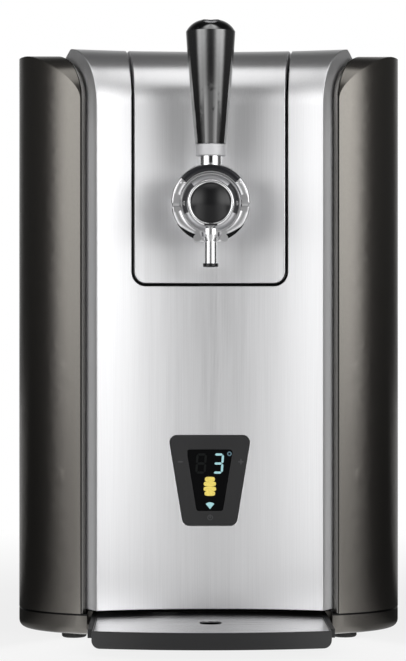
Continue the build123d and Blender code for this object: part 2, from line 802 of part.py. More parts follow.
export_step(lid_shell.part, "parts/lid_shell.step")

with BuildPart() as lid_liner:
    add(lid_block(-2.2, collar_z - 10))
    add(rolled_block(skin + 0.2), mode=Mode.INTERSECT)
    add(rolled_block(hem_depth - 0.5), mode=Mode.SUBTRACT)
    with Locations((0, hinge_y, hinge_z)):
        Box(2 * knuckle_out + 1, 50, 40, mode=Mode.SUBTRACT)
    with BuildSketch(Plane.XZ.offset(-keg_y)):
        with BuildLine():
            Polyline((0, plug_ceiling), (plug_hollow_r, plug_ceiling), (plug_hollow_r + 2, plug_low),
                     (plug_r - 1, plug_low), (plug_r, plug_low + 1), (plug_r, flange_low),
                     (flange_r, flange_low), (flange_r, flange_top), (flange_r - 5, cap_z),
                     (0, cap_z), close=True)
        make_face()
    revolve(axis=Axis((0, keg_y, 0), (0, 0, 1)))
    with BuildSketch(Plane.XZ.offset(-recess_y)):
        with Locations((0, tap_z)):
            Circle(shank_r + 0.2)
    extrude(amount=60, mode=Mode.SUBTRACT)
lid_liner.part.label = "lid_liner"
export_step(lid_liner.part, "parts/lid_liner.step")

with BuildPart() as lid_gasket:
    with BuildSketch(Plane.XZ.offset(-keg_y)):
        with BuildLine():
            Polyline((plug_r, gasket_low + 1), (mouth_r - 0.6, gasket_low + 1),
                     (mouth_r - 0.2, gasket_low), (flange_r - 0.5, gasket_low),
                     (flange_r - 0.2, flange_low), (plug_r, flange_low), close=True)
        make_face()
    revolve(axis=Axis((0, keg_y, 0), (0, 0, 1)))
lid_gasket.part.label = "lid_gasket"
export_step(lid_gasket.part, "parts/lid_gasket.step")

bracket_front = 115.5
knuckle_play = 0.4

with BuildPart() as hinge_bracket:
    with Locations((0, (bracket_front + hinge_y + 14.8) / 2, (collar_z + shell_top - gap) / 2)):
        Box(2 * hinge_box_half, hinge_y + 14.8 - bracket_front, shell_top - gap - collar_z)
    with BuildSketch(hinge_axis):
        Circle(barrel_r)
    extrude(amount=hinge_box_half, both=True)
    for side in (-1, 1):
        with BuildSketch(hinge_axis.offset(side * (knuckle_in + knuckle_out) / 2)):
            Circle(groove_r)
            with Locations((-15, 15 - groove_r)):
                Rectangle(30, 30)
        extrude(amount=(knuckle_out - knuckle_in) / 2 + knuckle_play, both=True, mode=Mode.SUBTRACT)
    with BuildSketch(hinge_axis):
        Circle(pin_r)
    extrude(amount=hinge_box_half, both=True, mode=Mode.SUBTRACT)
hinge_bracket.part.label = "hinge_bracket"
export_step(hinge_bracket.part, "parts/hinge_bracket.step")

with BuildPart() as hinge_pin:
    with BuildSketch(hinge_axis):
        Circle(pin_r)
    extrude(amount=hinge_box_half - 1, both=True)
    chamfer(hinge_pin.edges(), 0.5)
hinge_pin.part.label = "hinge_pin"
export_step(hinge_pin.part, "parts/hinge_pin.step")

# ---------------------------------------------------------------- tap head
tap_plane = Plane((0, tap_y, tap_z), x_dir=(1, 0, 0), z_dir=(0, -1, 0))
pivot_plane = Plane((0, tap_y, tap_z), x_dir=(0, 1, 0), z_dir=(1, 0, 0))
tap_axis = Axis((0, 0, tap_z), (0, 1, 0))
plate_front = -138.5
plate_r = 26.5
rim_y = tap_y - 4
bezel_r = 16.4
bezel_front = tap_y - 9
boss_r = 6
boss_in = 21.8
pivot_r = 2.4
pivot_in = 17.5
inlay_reach = 50                 # degrees each side of the top
inlay_depth = 2
crescent_r = 34.4
crescent_rise = 10.8
shank_end = -119
socket_r = 18
socket_y = -141
waist_r = 16.5
waist_y = -150
dish_back = -166
floor_y = rim_y + 3.6            # bottom of the dish round the medallion

with BuildPart() as tap_backplate:
    with BuildSketch(Plane.XZ.offset(-plate_front)):
        with Locations((0, tap_z)):
            Circle(plate_r)
            Circle(shank_r + 0.1, mode=Mode.SUBTRACT)
    extrude(amount=-12)
    front_rims = tap_backplate.edges().filter_by(GeomType.CIRCLE).sort_by(Axis.Y)[:2]
    fillet(front_rims.sort_by(SortBy.RADIUS)[-1], 2)
    add(body_block, mode=Mode.SUBTRACT)
tap_backplate.part.label = "tap_backplate"
export_step(tap_backplate.part, "parts/tap_backplate.step")

with BuildPart() as tap_body:
    with BuildSketch(Plane.XY.offset(tap_z)):
        with BuildLine():
            Polyline((0, shank_end), (shank_r, shank_end), (shank_r, plate_front),
                     (socket_r, plate_front), (socket_r, socket_y))
            Spline((socket_r, socket_y), (waist_r, waist_y), (dish_r, dish_back),
                   tangents=((0, -1), (0, -1)))
            Line((dish_r, dish_back), (dish_r, rim_y + 0.6))
            RadiusArc((dish_r, rim_y + 0.6), (dish_r - 0.6, rim_y), 0.6)
            Line((dish_r - 0.6, rim_y), (dish_r - 1.2, rim_y))
            ThreePointArc((dish_r - 1.2, rim_y), (dish_r - 3, rim_y + 3), (bezel_r - 1, floor_y))
            Polyline((bezel_r - 1, floor_y), (0, floor_y), (0, shank_end))
        make_face()
    revolve(axis=tap_axis)
    for side in (-1, 1):
        with BuildSketch(pivot_plane.offset(side * pivot_in)):
            Circle(pivot_r + running)
        extrude(amount=side * 20, mode=Mode.SUBTRACT)
    with BuildSketch(Plane.XY.offset(tap_z - 25)):
        with Locations((0, tap_y)):
            Circle(3.2)
    extrude(amount=25, mode=Mode.SUBTRACT)
tap_body.part.label = "tap_body"
export_step(tap_body.part, "parts/tap_body.step")

with BuildPart() as shank_nut:
    with BuildSketch(Plane.XZ.offset(-(recess_y - 2.4))):
        with Locations((0, tap_z)):
            RegularPolygon(14, 6)
            Circle(shank_r, mode=Mode.SUBTRACT)
    extrude(amount=5.6)
shank_nut.part.label = "shank_nut"
export_step(shank_nut.part, "parts/shank_nut.step")

with BuildPart() as tap_ring:
    with BuildSketch(tap_plane.offset(-ring_half_depth)) as ring_face:
        Circle(ring_r - 0.2)
        Circle(dish_r, mode=Mode.SUBTRACT)
        with Locations((0, ring_r)):
            Rectangle(4 * ring_r, 2 * ring_r, mode=Mode.SUBTRACT)
        with Locations((0, -ring_r)):
            Rectangle(15.4, 2 * ring_r, mode=Mode.SUBTRACT)
    extrude(amount=2 * ring_half_depth)
    fillet(tap_ring.edges().group_by(Axis.Y)[0].filter_by(GeomType.CIRCLE).filter_by(
        lambda e: e.radius > dish_r + 1), 1.5)
    with BuildSketch(tap_plane.offset(1.5)):
        Circle(ring_r + 2)
        with Locations((0, crescent_rise)):
            Circle(crescent_r, mode=Mode.SUBTRACT)
    extrude(amount=ring_half_depth, mode=Mode.SUBTRACT)
    with BuildSketch(pivot_plane):
        Circle(boss_r + 0.5)
    extrude(amount=half, both=True, mode=Mode.SUBTRACT)
    with BuildSketch(tap_plane.offset(-ring_half_depth)):
        for side in (-1, 1):
            with Locations((side * 9.4, -24.4)):
                Circle(2.7)
    extrude(amount=2 * ring_half_depth + 0.5)
tap_ring.part.label = "tap_ring"
export_step(tap_ring.part, "parts/tap_ring.step")

with BuildPart() as ring_insets:
    with BuildSketch(tap_plane.offset(1.5)):
        Circle(ring_r - 0.2)
        with Locations((0, crescent_rise)):
            Circle(crescent_r, mode=Mode.SUBTRACT)
        for side in (-1, 1):
            with Locations((side * 9.4, -24.4)):
                Circle(2.7, mode=Mode.SUBTRACT)
        with Locations((0, -ring_r)):
            Rectangle(18, 2 * ring_r, mode=Mode.SUBTRACT)
    extrude(amount=3)
ring_insets.part.label = "ring_insets"
export_step(ring_insets.part, "parts/ring_insets.step")

with BuildPart() as medallion_bezel:
    with BuildSketch(Plane.XY.offset(tap_z)):
        with BuildLine():
            Polyline((medallion_r, floor_y), (bezel_r, floor_y), (bezel_r, bezel_front + 1.6))
            ThreePointArc((bezel_r, bezel_front + 1.6), (bezel_r - 1.2, bezel_front),
                          (medallion_r, bezel_front + 0.8))
            Line((medallion_r, bezel_front + 0.8), (medallion_r, floor_y))
        make_face()
    revolve(axis=tap_axis)
medallion_bezel.part.label = "medallion_bezel"
export_step(medallion_bezel.part, "parts/medallion_bezel.step")

dome_rise = 3.6
dome_front = bezel_front + 1.4 - dome_rise
dome_radius = (medallion_r**2 + dome_rise**2) / (2 * dome_rise)
dome_mid = dome_front + dome_radius - math.sqrt(dome_radius**2 - (medallion_r / 2) ** 2)

with BuildPart() as medallion:
    with BuildSketch(Plane.XY.offset(tap_z)):
        with BuildLine():
            Polyline((0, floor_y), (medallion_r, floor_y), (medallion_r, bezel_front + 1.4))
            ThreePointArc((medallion_r, bezel_front + 1.4), (medallion_r / 2, dome_mid), (0, dome_front))
            Line((0, dome_front), (0, floor_y))
        make_face()
    revolve(axis=tap_axis)
medallion.part.label = "medallion"
export_step(medallion.part, "parts/medallion.step")

spout_top = tap_z - dish_r + 2.4
tip_top = spout_low + 2.5

with BuildPart() as tap_spout:
    with BuildSketch(Plane.XZ.offset(-tap_y)):
        with BuildLine():
            Polyline((3.2, spout_low + 0.4), (spout_r, spout_low + 0.4), (spout_r, spout_top - 8))
            Spline((spout_r, spout_top - 8), (6.4, spout_top - 3), tangents=((0, 1), (0, 1)))
            Polyline((6.4, spout_top - 3), (6.4, spout_top + 1), (3.2, spout_top + 1),
                     (3.2, spout_low + 0.4))
        make_face()
    revolve(axis=Axis((0, tap_y, 0), (0, 0, 1)))
    add(tap_body.part, mode=Mode.SUBTRACT)
tap_spout.part.label = "tap_spout"
export_step(tap_spout.part, "parts/tap_spout.step")

with BuildPart() as spout_tip:
    with BuildSketch(Plane.XY.offset(spout_low)):
        with Locations((0, tap_y)):
            Circle(5.45)
            Circle(3.2, mode=Mode.SUBTRACT)
    extrude(amount=tip_top - spout_low)
    chamfer(spout_tip.edges().sort_by(Axis.Z)[:2].sort_by(SortBy.RADIUS)[-1], 0.5)
    with BuildSketch(Plane.XY.offset(spout_low + 0.4)):
        with Locations((0, tap_y)):
            Circle(spout_r)
    extrude(amount=5, mode=Mode.SUBTRACT)
spout_tip.part.label = "spout_tip"
export_step(spout_tip.part, "parts/spout_tip.step")

# ---------------------------------------------------------------- tap lever
neck_r = 8.3
neck_top = 344
ferrule_r = 10.55
grip_low = 352.4
shoulder_z = grip_top - 8
shoulder_r = 17.3
handle_axis = Axis((0, tap_y, 0), (0, 0, 1))


def inlay_face():
    """Band of the yoke's black inlay: an arc of the ring's front, cut off at both ends on radii."""
    far_x = 2 * ring_r * math.sin(math.radians(inlay_reach))
    far_z = 2 * ring_r * math.cos(math.radians(inlay_reach))
    with BuildSketch() as band:
        Circle(ring_r - 0.7)
        Circle(ring_in + 0.6, mode=Mode.SUBTRACT)
        with BuildLine():
            Polyline((0, 0), (far_x, far_z), (0, 2 * ring_r), (-far_x, far_z), close=True)
        make_face(mode=Mode.INTERSECT)
    return band.sketch


with BuildPart() as lever_yoke:
    with BuildSketch(tap_plane.offset(-ring_half_depth)):
        Circle(ring_r)
        Circle(ring_in, mode=Mode.SUBTRACT)
        with Locations((0, -ring_r)):
            Rectangle(4 * ring_r, 2 * ring_r, mode=Mode.SUBTRACT)
    extrude(amount=2 * ring_half_depth)
    fillet(lever_yoke.edges().filter_by(GeomType.CIRCLE).filter_by(lambda e: e.radius > ring_in + 1), 1.8)
    for side in (-1, 1):
        with BuildSketch(pivot_plane.offset(side * boss_in)):
            Circle(boss_r)
        extrude(amount=side * (ring_r - 1.2 - boss_in))
        with BuildSketch(pivot_plane.offset(side * pivot_in)):
            Circle(pivot_r)
        extrude(amount=side * 30, mode=Mode.SUBTRACT)
    with BuildSketch(tap_plane.offset(ring_half_depth - inlay_depth)):
        add(inlay_face())
    extrude(amount=2 * inlay_depth, mode=Mode.SUBTRACT)
lever_yoke.part.label = "lever_yoke"
export_step(lever_yoke.part, "parts/lever_yoke.step")

with BuildPart() as yoke_insert:
    with BuildSketch(tap_plane.offset(ring_half_depth - inlay_depth)):
        add(inlay_face())
    extrude(amount=inlay_depth + 0.2)
yoke_insert.part.label = "yoke_insert"
export_step(yoke_insert.part, "parts/yoke_insert.step")

with BuildPart() as pivot_pins:
    for side in (-1, 1):
        with BuildSketch(pivot_plane.offset(side * (pivot_in + 0.3))):
            Circle(pivot_r)
        extrude(amount=side * (ring_r - 1 - pivot_in))
    chamfer(pivot_pins.edges(), 0.4)
pivot_pins.part.label = "pivot_pins"
export_step(pivot_pins.part, "parts/pivot_pins.step")

with BuildPart() as handle_neck:
    with BuildSketch(Plane.XZ.offset(-tap_y)):
        with BuildLine():
            Polyline((0, tap_z + ring_r - 3), (neck_r, tap_z + ring_r - 3), (neck_r, neck_top),
                     (6, neck_top), (6, grip_low), (0, grip_low), close=True)
        make_face()
    revolve(axis=handle_axis)
    add(lever_yoke.part, mode=Mode.SUBTRACT)
    add(yoke_insert.part, mode=Mode.SUBTRACT)
    with Locations((0, tap_y, tap_z)):
        with Locations(Rotation(90, 0, 0)):
            Cylinder(ring_r - 1, 40, mode=Mode.SUBTRACT)
handle_neck.part.label = "handle_neck"
export_step(handle_neck.part, "parts/handle_neck.step")

with BuildPart() as handle_ferrule:
    with BuildSketch(Plane.XZ.offset(-tap_y)):
        with BuildLine():
            Polyline((6, neck_top), (ferrule_r - 0.4, neck_top), (ferrule_r, neck_top + 0.4),
                     (ferrule_r, grip_low - 0.4), (ferrule_r - 0.4, grip_low), (6, grip_low), close=True)
        make_face()
    revolve(axis=handle_axis)
handle_ferrule.part.label = "handle_ferrule"
export_step(handle_ferrule.part, "parts/handle_ferrule.step")

badge_plane = Plane((0, tap_y - 6.5, grip_top - 4.4), x_dir=(1, 0, 0), z_dir=(0, -0.34, 0.94))
badge_r = 6.2

with BuildPart() as handle_grip:
    with BuildSketch(Plane.XZ.offset(-tap_y)):
        with BuildLine():
            Line((0, grip_low), (10.85, grip_low))
            Spline((10.85, grip_low), (13.2, 377.7), (14.9, 397.3), (shoulder_r, shoulder_z))
            ThreePointArc((shoulder_r, shoulder_z), (13, grip_top - 2.7), (0, grip_top))
            Line((0, grip_top), (0, grip_low))
        make_face()
    revolve(axis=handle_axis)
    with BuildSketch(badge_plane):
        Circle(badge_r)
    extrude(amount=5, mode=Mode.SUBTRACT)
handle_grip.part.label = "handle_grip"
export_step(handle_grip.part, "parts/handle_grip.step")

with BuildPart() as handle_badge:
    with BuildSketch(badge_plane):
        Circle(badge_r)
    extrude(amount=1.4)
    with BuildSketch(badge_plane.offset(1.4)):
        Circle(badge_r)
        Circle(badge_r - 0.9, mode=Mode.SUBTRACT)
    extrude(amount=0.7)
handle_badge.part.label = "handle_badge"
export_step(handle_badge.part, "parts/handle_badge.step")

# ---------------------------------------------------------------- drip tray
plate_rear = face_mid_y - 1.5
corner_drop = face_radius - math.sqrt(face_radius**2 - tray_half**2)


def tray_plan(inset):
    """Plan of the drip plate: bowed front, straight sides, rear edge parallel to the front panel."""
    with BuildSketch() as plan:
        with BuildLine():
            ThreePointArc((-tray_half, tray_front), (0, tray_front - tray_bow), (tray_half, tray_front))
            Line((tray_half, tray_front), (tray_half, plate_rear - corner_drop))
            ThreePointArc((tray_half, plate_rear - corner_drop), (0, plate_rear),
                          (-tray_half, plate_rear - corner_drop))
            Line((-tray_half, plate_rear - corner_drop), (-tray_half, tray_front))
        make_face()
        offset(amount=-inset, kind=Kind.INTERSECTION)
    return plan.sketch


with BuildPart() as tray_pan:
    with BuildSketch(Plane.XY.offset(tray_low)):
        with BuildLine():
            ThreePointArc((-tray_half, tray_front), (0, tray_front - tray_bow), (tray_half, tray_front))
            Polyline((tray_half, tray_front), (tray_half, tray_rear), (-tray_half, tray_rear),
                     (-tray_half, tray_front))
        make_face()
    extrude(amount=tray_top - tray_low)
    fillet(tray_pan.edges().filter_by(Axis.Y).group_by(Axis.Z)[0], 5.5)
    with BuildSketch(Plane.XY.offset(wing_low)):
        with Locations((0, (tray_front + 15 + tray_rear) / 2)):
            Rectangle(2 * wing_half, tray_rear - tray_front - 15)
    extrude(amount=tray_top - 0.6 - wing_low)
    with BuildSketch(Plane.XY.offset(tray_top - plate_thick)):
        add(tray_plan(1.2))
    extrude(amount=plate_thick + 1, mode=Mode.SUBTRACT)
    with BuildSketch(Plane.XY.offset(tray_low + 2.2)):
        add(tray_plan(4))
    extrude(amount=tray_top, mode=Mode.SUBTRACT)
tray_pan.part.label = "tray_pan"
export_step(tray_pan.part, "parts/tray_pan.step")

with BuildPart() as tray_plate:
    with BuildSketch(Plane.XY.offset(tray_top - plate_thick + 0.05)):
        add(tray_plan(1.5))
        with Locations((0, tap_y)):
            SlotOverall(23, 15, rotation=90, mode=Mode.SUBTRACT)
    extrude(amount=plate_thick - 0.05)
tray_plate.part.label = "tray_plate"
export_step(tray_plate.part, "parts/tray_plate.step")
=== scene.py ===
import json
import math

import bmesh
import bpy
import numpy as np
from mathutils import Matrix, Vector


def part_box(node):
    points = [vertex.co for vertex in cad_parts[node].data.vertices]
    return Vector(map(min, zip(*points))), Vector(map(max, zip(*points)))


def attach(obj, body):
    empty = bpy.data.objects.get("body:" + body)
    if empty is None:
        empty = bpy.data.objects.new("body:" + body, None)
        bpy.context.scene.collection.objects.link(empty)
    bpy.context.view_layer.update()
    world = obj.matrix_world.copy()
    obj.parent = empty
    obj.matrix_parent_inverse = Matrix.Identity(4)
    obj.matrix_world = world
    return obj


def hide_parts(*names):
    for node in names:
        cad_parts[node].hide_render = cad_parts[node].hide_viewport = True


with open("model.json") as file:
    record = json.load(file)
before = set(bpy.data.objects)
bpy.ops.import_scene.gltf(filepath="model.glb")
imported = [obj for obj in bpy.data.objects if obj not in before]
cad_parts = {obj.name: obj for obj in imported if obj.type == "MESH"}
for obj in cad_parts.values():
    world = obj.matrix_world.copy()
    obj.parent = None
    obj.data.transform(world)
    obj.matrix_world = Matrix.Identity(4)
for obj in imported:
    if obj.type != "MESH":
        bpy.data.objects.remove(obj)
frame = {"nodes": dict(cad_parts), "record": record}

bl_info = {
    "name": "Keg Dispenser Dressing",
    "version": (1, 0, 0),
    "blender": (4, 5, 0),
    "location": "View3D > Sidebar > Dispenser",
    "description": "Gives the packed mini keg dispenser its metal, lacquer, display and studio",
    "category": "Object",
}

# The dispenser stands on z = 0 and its front looks towards -Y. Outlines, places and sizes of the
# new pieces are in mm, and are scaled to Blender's metres when a piece is put in the scene.
MM = 0.001
NODES = frame["nodes"]
RECORD = frame["record"]
SLOT_OF = {row["node"]: row["material_slot"] for row in RECORD["subparts"]}
BODY_OF = {node: body for body, nodes in RECORD["behaviour"]["bodies"].items() for node in nodes}
JOINTS = {joint["name"]: joint for joint in RECORD["behaviour"]["joints"]}
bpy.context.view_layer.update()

# Radius that takes the sharpness off each stamped or moulded piece, and how it is cut: the sharp
# edges are those over EDGE_ANGLE degrees.
EDGE_RADII = {
    "front_panel": 0.7, "lid_shell": 0.7, "left_trim_strip": 0.5, "right_trim_strip": 0.5,
    "hinge_bracket": 0.6, "tray_pan": 0.5, "tray_plate": 0.3, "display_bezel": 0.3,
}
EDGE_STEPS = 3
EDGE_ANGLE = 28
FLAT_FACE_WEIGHT = 80

# Merging of a copied node: corners nearer than the gap become one, and faces that bend by less
# than the angle, in degrees, become one. A new piece stays sharp over the crease angle.
MERGE_GAP = 0.001
JOIN_ANGLE = 0.5
CREASE_ANGLE = 30



def box_mm(node):
    """Low and high corner of a node's box, in mm to the nearest thousandth."""
    return [[round(value / MM, 3) for value in corner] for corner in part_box(node)]


# Housing in plan: elliptical front quarters about a middle, straight flanks and round rear
# corners. The tray's slot opens the front up to SLOT_EDGE on each side.
SHELL_BOX = box_mm("right_side_shell")
HALF_WIDTH = SHELL_BOX[1][0]
SHELL_FRONT = SHELL_BOX[0][1]
REAR_Y = box_mm("rear_cover")[1][1]
REAR_CORNER = 34.0
QUARTER_A = 84.7
QUARTER_B = 62.5
QUARTER_X = HALF_WIDTH - QUARTER_A
QUARTER_Y = -81.0
SLOT_EDGE = 88.3

# Skirt of the base: its wall from low to top, a hair inside the housing's plan, and the hidden
# inner side, which rises from the heel to the knee and on to the top. Over the seam's low edge
# the base's finish is painted black, as painted shade of the seam under the shells.
SKIRT_LOW = 3.9
SKIRT_TOP = 17.8
SKIRT_INSET = 0.05
SKIRT_BACK = 2.5
SKIRT_HEEL = 5.0
SKIRT_KNEE = 9.0
SEAM_SHADE_LOW = 17.5
SEAM_SHADE_BLEND = 0.2

# Bent flanks of the silver front: they begin between these two widths, and their painted light,
# a lower metallic that lets diffuse light brighten them, ends between these two heights.
FLANK_ACROSS = (80.4, 83.0)
FLANK_UP = (360.0, 400.0)

# Hollow front: an upright cylinder whose axis stands before it. The glass and the bezel stand
# proud of it, and a figure starts just under the surface that carries it.
FACE_AXIS_Y = -392.36
FACE_RADIUS = 260.16
WINDOW_PROUD = 0.3
BEZEL_PROUD = 0.6
FIGURE_SINK = 0.05

# Figures of the display and its touch marks: places across and up, half sizes and radii.
DIGIT_X = 6.1
GHOST_X = -6.2
DIGIT_Z = 126.4
DEGREE_PLACE = (14.15, 133.4)
DEGREE_RADII = (0.85, 1.6)
KEG_X = 0.1
KEG_HOOPS = ((115.1, 3.6), (111.8, 4.4), (108.2, 4.5), (104.9, 3.8))
HOOP_HALF = 1.75
HOOP_SQUARENESS = 3.2
WAVE_PLACE = (0.2, 96.1)
WAVE_REACH = 3.1
WAVE_RADIUS = 4.9
MINUS_X = -21.1
PLUS_X = 22.4
TOUCH_Z = 127.7
STROKE_LONG = 1.9
STROKE_THIN = 0.5
POWER_X = 0.3
POWER_Z = 87.6
POWER_RADII = (1.4, 2.0)
POWER_STROKE = (0.4, 1.4)
POWER_STROKE_UP = 1.0

# Tap: the ring stands round the lever's axis, its upper half on the yoke and its lower half on
# the tap's body. Spans are in degrees round that axis, counted from the right.
TAP_Y, TAP_Z = (round(value / MM, 3) for value in JOINTS["tap_lever"]["pos_m"][1:])
RING_FRONT = box_mm("lever_yoke")[0][1]
RING_RIM = 27.1
YOKE_INNER = 22.0
YOKE_SPAN = (14.5, 39.6)
INLAY_RADII = (22.5, 26.8)
INLAY_SPAN = (40.4, 139.6)
INLAY_PROUD = 0.2
RING_INNER = 21.5
LOWER_SPAN = (-61.0, -14.5)
CRESCENT_UP = 10.8
CRESCENT_RADIUS = 34.4
CRESCENT_GAP = 0.35
CHANNEL_RADII = (16.7, 19.6)
CHANNEL_SPAN = (-22.0, 46.0)
CHANNEL_RISE = 0.35
COVE_POINTS = ((20.0, -181.0), (18.2, -178.0), (15.4, -177.4))
COVE_LIFT = 0.1
BAND_BACK = 0.2

# Small parts of the tap: studs on the yoke by angle and radius, the dark plate of painted shade
# for the slot under the medallion by its drop, half sizes and distances before y = 0, and the one
# for the slot in the neck by its heights.
STUDS = ((34.0, 25.3), (37.5, 23.2))
STUD_STEM = 0.6
STUD_RISE = 1.0
BEZEL_SLOT_DROP = 15.2
BEZEL_SLOT_HALVES = (4.6, 0.8)
BEZEL_SLOT_DEPTHS = (184.6, 186.2)
NECK_RADIUS = 8.3
NECK_SLOT_HALF = 1.15
NECK_SLOT_SPAN = (338.9, 343.7)
NECK_SLOT_PROUD = 0.06
NECK_SLOT_SINK = 0.1

# Brightness of the light tent: by the turn from straight ahead, 0 to 1 for 0 to 180 degrees,
# and by the height, 0 to 1 from straight down to straight up.
TENT_ROUND = [(0.0, 0.06), (0.04, 0.08), (0.08, 0.17), (0.12, 0.5), (0.155, 0.88), (0.19, 1.08),
              (0.24, 1.04), (0.29, 1.16), (0.33, 1.05), (0.375, 0.5), (0.4, 0.16), (0.44, 0.045),
              (0.62, 0.035), (0.74, 0.035), (0.84, 0.12), (1.0, 0.3)]
TENT_UP = [(0.0, 0.3), (0.48, 0.5), (0.5, 0.75), (0.545, 1.0), (0.62, 1.0), (0.705, 0.86),
           (0.79, 0.46), (0.86, 0.2), (0.93, 0.12), (1.0, 0.3)]
# Round patches of the tent: the way to the middle, the cosines at edge and core, and the levels
# outside and inside. The level inside the overhead box is a setting.
DARK_PATCH = {"way": (0, 0.62, 0.785), "edge": 0.62, "core": 0.95, "outside": 1.0, "inside": 0.8}
OVERHEAD_BOX = {"way": (0, -0.39, 0.92), "edge": 0.88, "core": 0.985, "outside": 0.0}
# The tent's left side has this gain, and the change to the right side's spans twice the blend.
LEFT_GAIN = 0.98
SIDE_BLEND = 0.2
# Painted light and shade on the floor: its tone by the same turn, bright where the tent's boxes
# stand and dark elsewhere, so that what stands low mirrors the same bright and dark.
FLOOR_PAINTED_LIGHT = [(0.0, 0.25), (0.06, 0.28), (0.12, 0.66), (0.18, 0.92), (0.21, 0.85), (0.24, 0.3),
               (0.3, 0.2), (0.35, 0.08), (0.4, 0.02), (0.62, 0.02), (0.75, 0.2), (1.0, 0.3)]
# Radius of the floor, and the distances between which it fades to white, in metres.
FLOOR_RADIUS = 6.0
FLOOR_FADE = (0.25, 0.8)


# ------------------------------------------------------------------ settings
class DispenserDetail(bpy.types.PropertyGroup):
    """Sizes of the pieces that are added to the solids."""

    skirt_round: bpy.props.FloatProperty(
        name="Skirt rounding", description="Radius of the base's lower edge", default=5.5 * MM,
        subtype="DISTANCE", unit="LENGTH")
    crown_rise: bpy.props.FloatProperty(
        name="Crown rise", description="How far the crowns of the tap's ring stand out",
        default=0.7 * MM, subtype="DISTANCE", unit="LENGTH")
    stud_radius: bpy.props.FloatProperty(
        name="Stud radius", description="Radius of the small studs on the yoke",
        default=0.95 * MM, subtype="DISTANCE", unit="LENGTH")
    figure_rise: bpy.props.FloatProperty(
        name="Figure rise", description="Height of the display's figures over what carries them",
        default=0.12 * MM, subtype="DISTANCE", unit="LENGTH")


class DispenserFinish(bpy.types.PropertyGroup):
    """Colours of the finishes."""

    silver: bpy.props.FloatVectorProperty(
        name="Silver", description="Brushed front and lid", size=3, default=(0.84, 0.84, 0.85),
        subtype="COLOR", min=0.0, max=1.0)
    graphite: bpy.props.FloatVectorProperty(
        name="Graphite", description="Lacquer of the side shells", size=3,
        default=(0.17, 0.16, 0.145), subtype="COLOR", min=0.0, max=1.0)
    trim: bpy.props.FloatVectorProperty(
        name="Trim", description="Strips beside the front", size=3, default=(0.23, 0.225, 0.215),
        subtype="COLOR", min=0.0, max=1.0)
    black_plastic: bpy.props.FloatVectorProperty(
        name="Black plastic", description="Moulded deck, bezel and tray", size=3,
        default=(0.016, 0.016, 0.017), subtype="COLOR", min=0.0, max=1.0)
    gloss_black: bpy.props.FloatVectorProperty(
        name="Gloss black", description="Handle, medallion and inlays", size=3,
        default=(0.009, 0.009, 0.01), subtype="COLOR", min=0.0, max=1.0)
    chrome: bpy.props.FloatVectorProperty(
        name="Chrome", description="Tap fittings", size=3, default=(0.83, 0.83, 0.84),
        subtype="COLOR", min=0.0, max=1.0)
    steel: bpy.props.FloatVectorProperty(
        name="Steel", description="Drip plate, ferrule and fasteners", size=3,
        default=(0.62, 0.62, 0.63), subtype="COLOR", min=0.0, max=1.0)


class DispenserStage(bpy.types.PropertyGroup):
    """Camera, floor and light tent."""

    camera_place: bpy.props.FloatVectorProperty(
        name="Camera place", description="Where the camera stands", size=3,
        default=(-0.025, -1.845, 0.222), subtype="TRANSLATION", unit="LENGTH")
    camera_turn: bpy.props.FloatProperty(
        name="Camera turn", description="How far the camera looks to the right of straight ahead",
        default=math.radians(0.675), subtype="ANGLE", unit="ROTATION")
    lens_length: bpy.props.FloatProperty(
        name="Lens", description="Focal length on a 36 mm long side", default=129.8)
    floor_glow: bpy.props.FloatProperty(
        name="Floor glow", description="Share of white that the camera sees in the near floor",
        default=0.85, min=0.0, max=1.0, subtype="FACTOR")
    floor_mirror: bpy.props.FloatProperty(
        name="Floor in metal", description="Brightness of the floor that polished parts mirror",
        default=1.7)
    tent_level: bpy.props.FloatProperty(
        name="Tent level", description="Strength of the light from all round", default=2.2)
    right_gain: bpy.props.FloatProperty(
        name="Right side", description="Gain of the tent's brightness on the right",
        default=1.17)
    overhead: bpy.props.FloatProperty(
        name="Overhead", description="Extra brightness of the box above the front", default=0.48)


SETTINGS = {"dispenser_detail": DispenserDetail, "dispenser_finish": DispenserFinish,
            "dispenser_stage": DispenserStage}


# ------------------------------------------------------------------ shader nodes
def shader(name, colour, rough, metal=0.0, **more):
    """A material with one Principled shader whose sockets hold these constant values."""
    material = bpy.data.materials.new(name)
    material.use_nodes = True
    surface = principled(material)
    surface.inputs["Base Color"].default_value = (*colour, 1.0)
    surface.inputs["Roughness"].default_value = rough
    surface.inputs["Metallic"].default_value = metal
    for socket, value in more.items():
        surface.inputs[socket.replace("_", " ")].default_value = value
    return material


def principled(material):
    return material.node_tree.nodes["Principled BSDF"]


def add_node(owner, kind, **values):
    """One more node in a material or world; values set its properties or its inputs by name."""
    node = owner.node_tree.nodes.new(kind)
    for key, value in values.items():
        if hasattr(node, key):
            setattr(node, key, value)
        else:
            node.inputs[key.replace("_", " ")].default_value = value
    return node


def join(owner, source, output, target, socket):
    owner.node_tree.links.new(source.outputs[output], target.inputs[socket])


def fed(owner, kind, *feeds, **values):
    """One more node whose inputs take the feeds, each a node with one of its outputs, in order."""
    node = add_node(owner, kind, **values)
    for socket, (source, output) in enumerate(feeds):
        join(owner, source, output, node, socket)
    return node


def pattern(material, kind, stretch=(1, 1, 1), **values):
    """A texture node on Object coordinates, stretched by a Mapping node."""
    place = add_node(material, "ShaderNodeTexCoord")
    mapping = fed(material, "ShaderNodeMapping", (place, "Object"), Scale=stretch)
    texture = add_node(material, kind, **values)
    join(material, mapping, "Vector", texture, "Vector")
    return texture


def bump(material, texture, height, strength, output=0):
    """Lets the texture's value raise the surface by up to height."""
    relief = add_node(material, "ShaderNodeBump", Strength=strength, Distance=height)
    join(material, texture, output, relief, "Height")
    join(material, relief, "Normal", principled(material), "Normal")


def vary(material, texture, low, high, output=0):
    """Lets the texture's value from 0.3 to 0.7 carry the roughness from low to high."""
    span = fed(material, "ShaderNodeMapRange", (texture, output), From_Min=0.3, From_Max=0.7,
               To_Min=low, To_Max=high)
    join(material, span, "Result", principled(material), "Roughness")


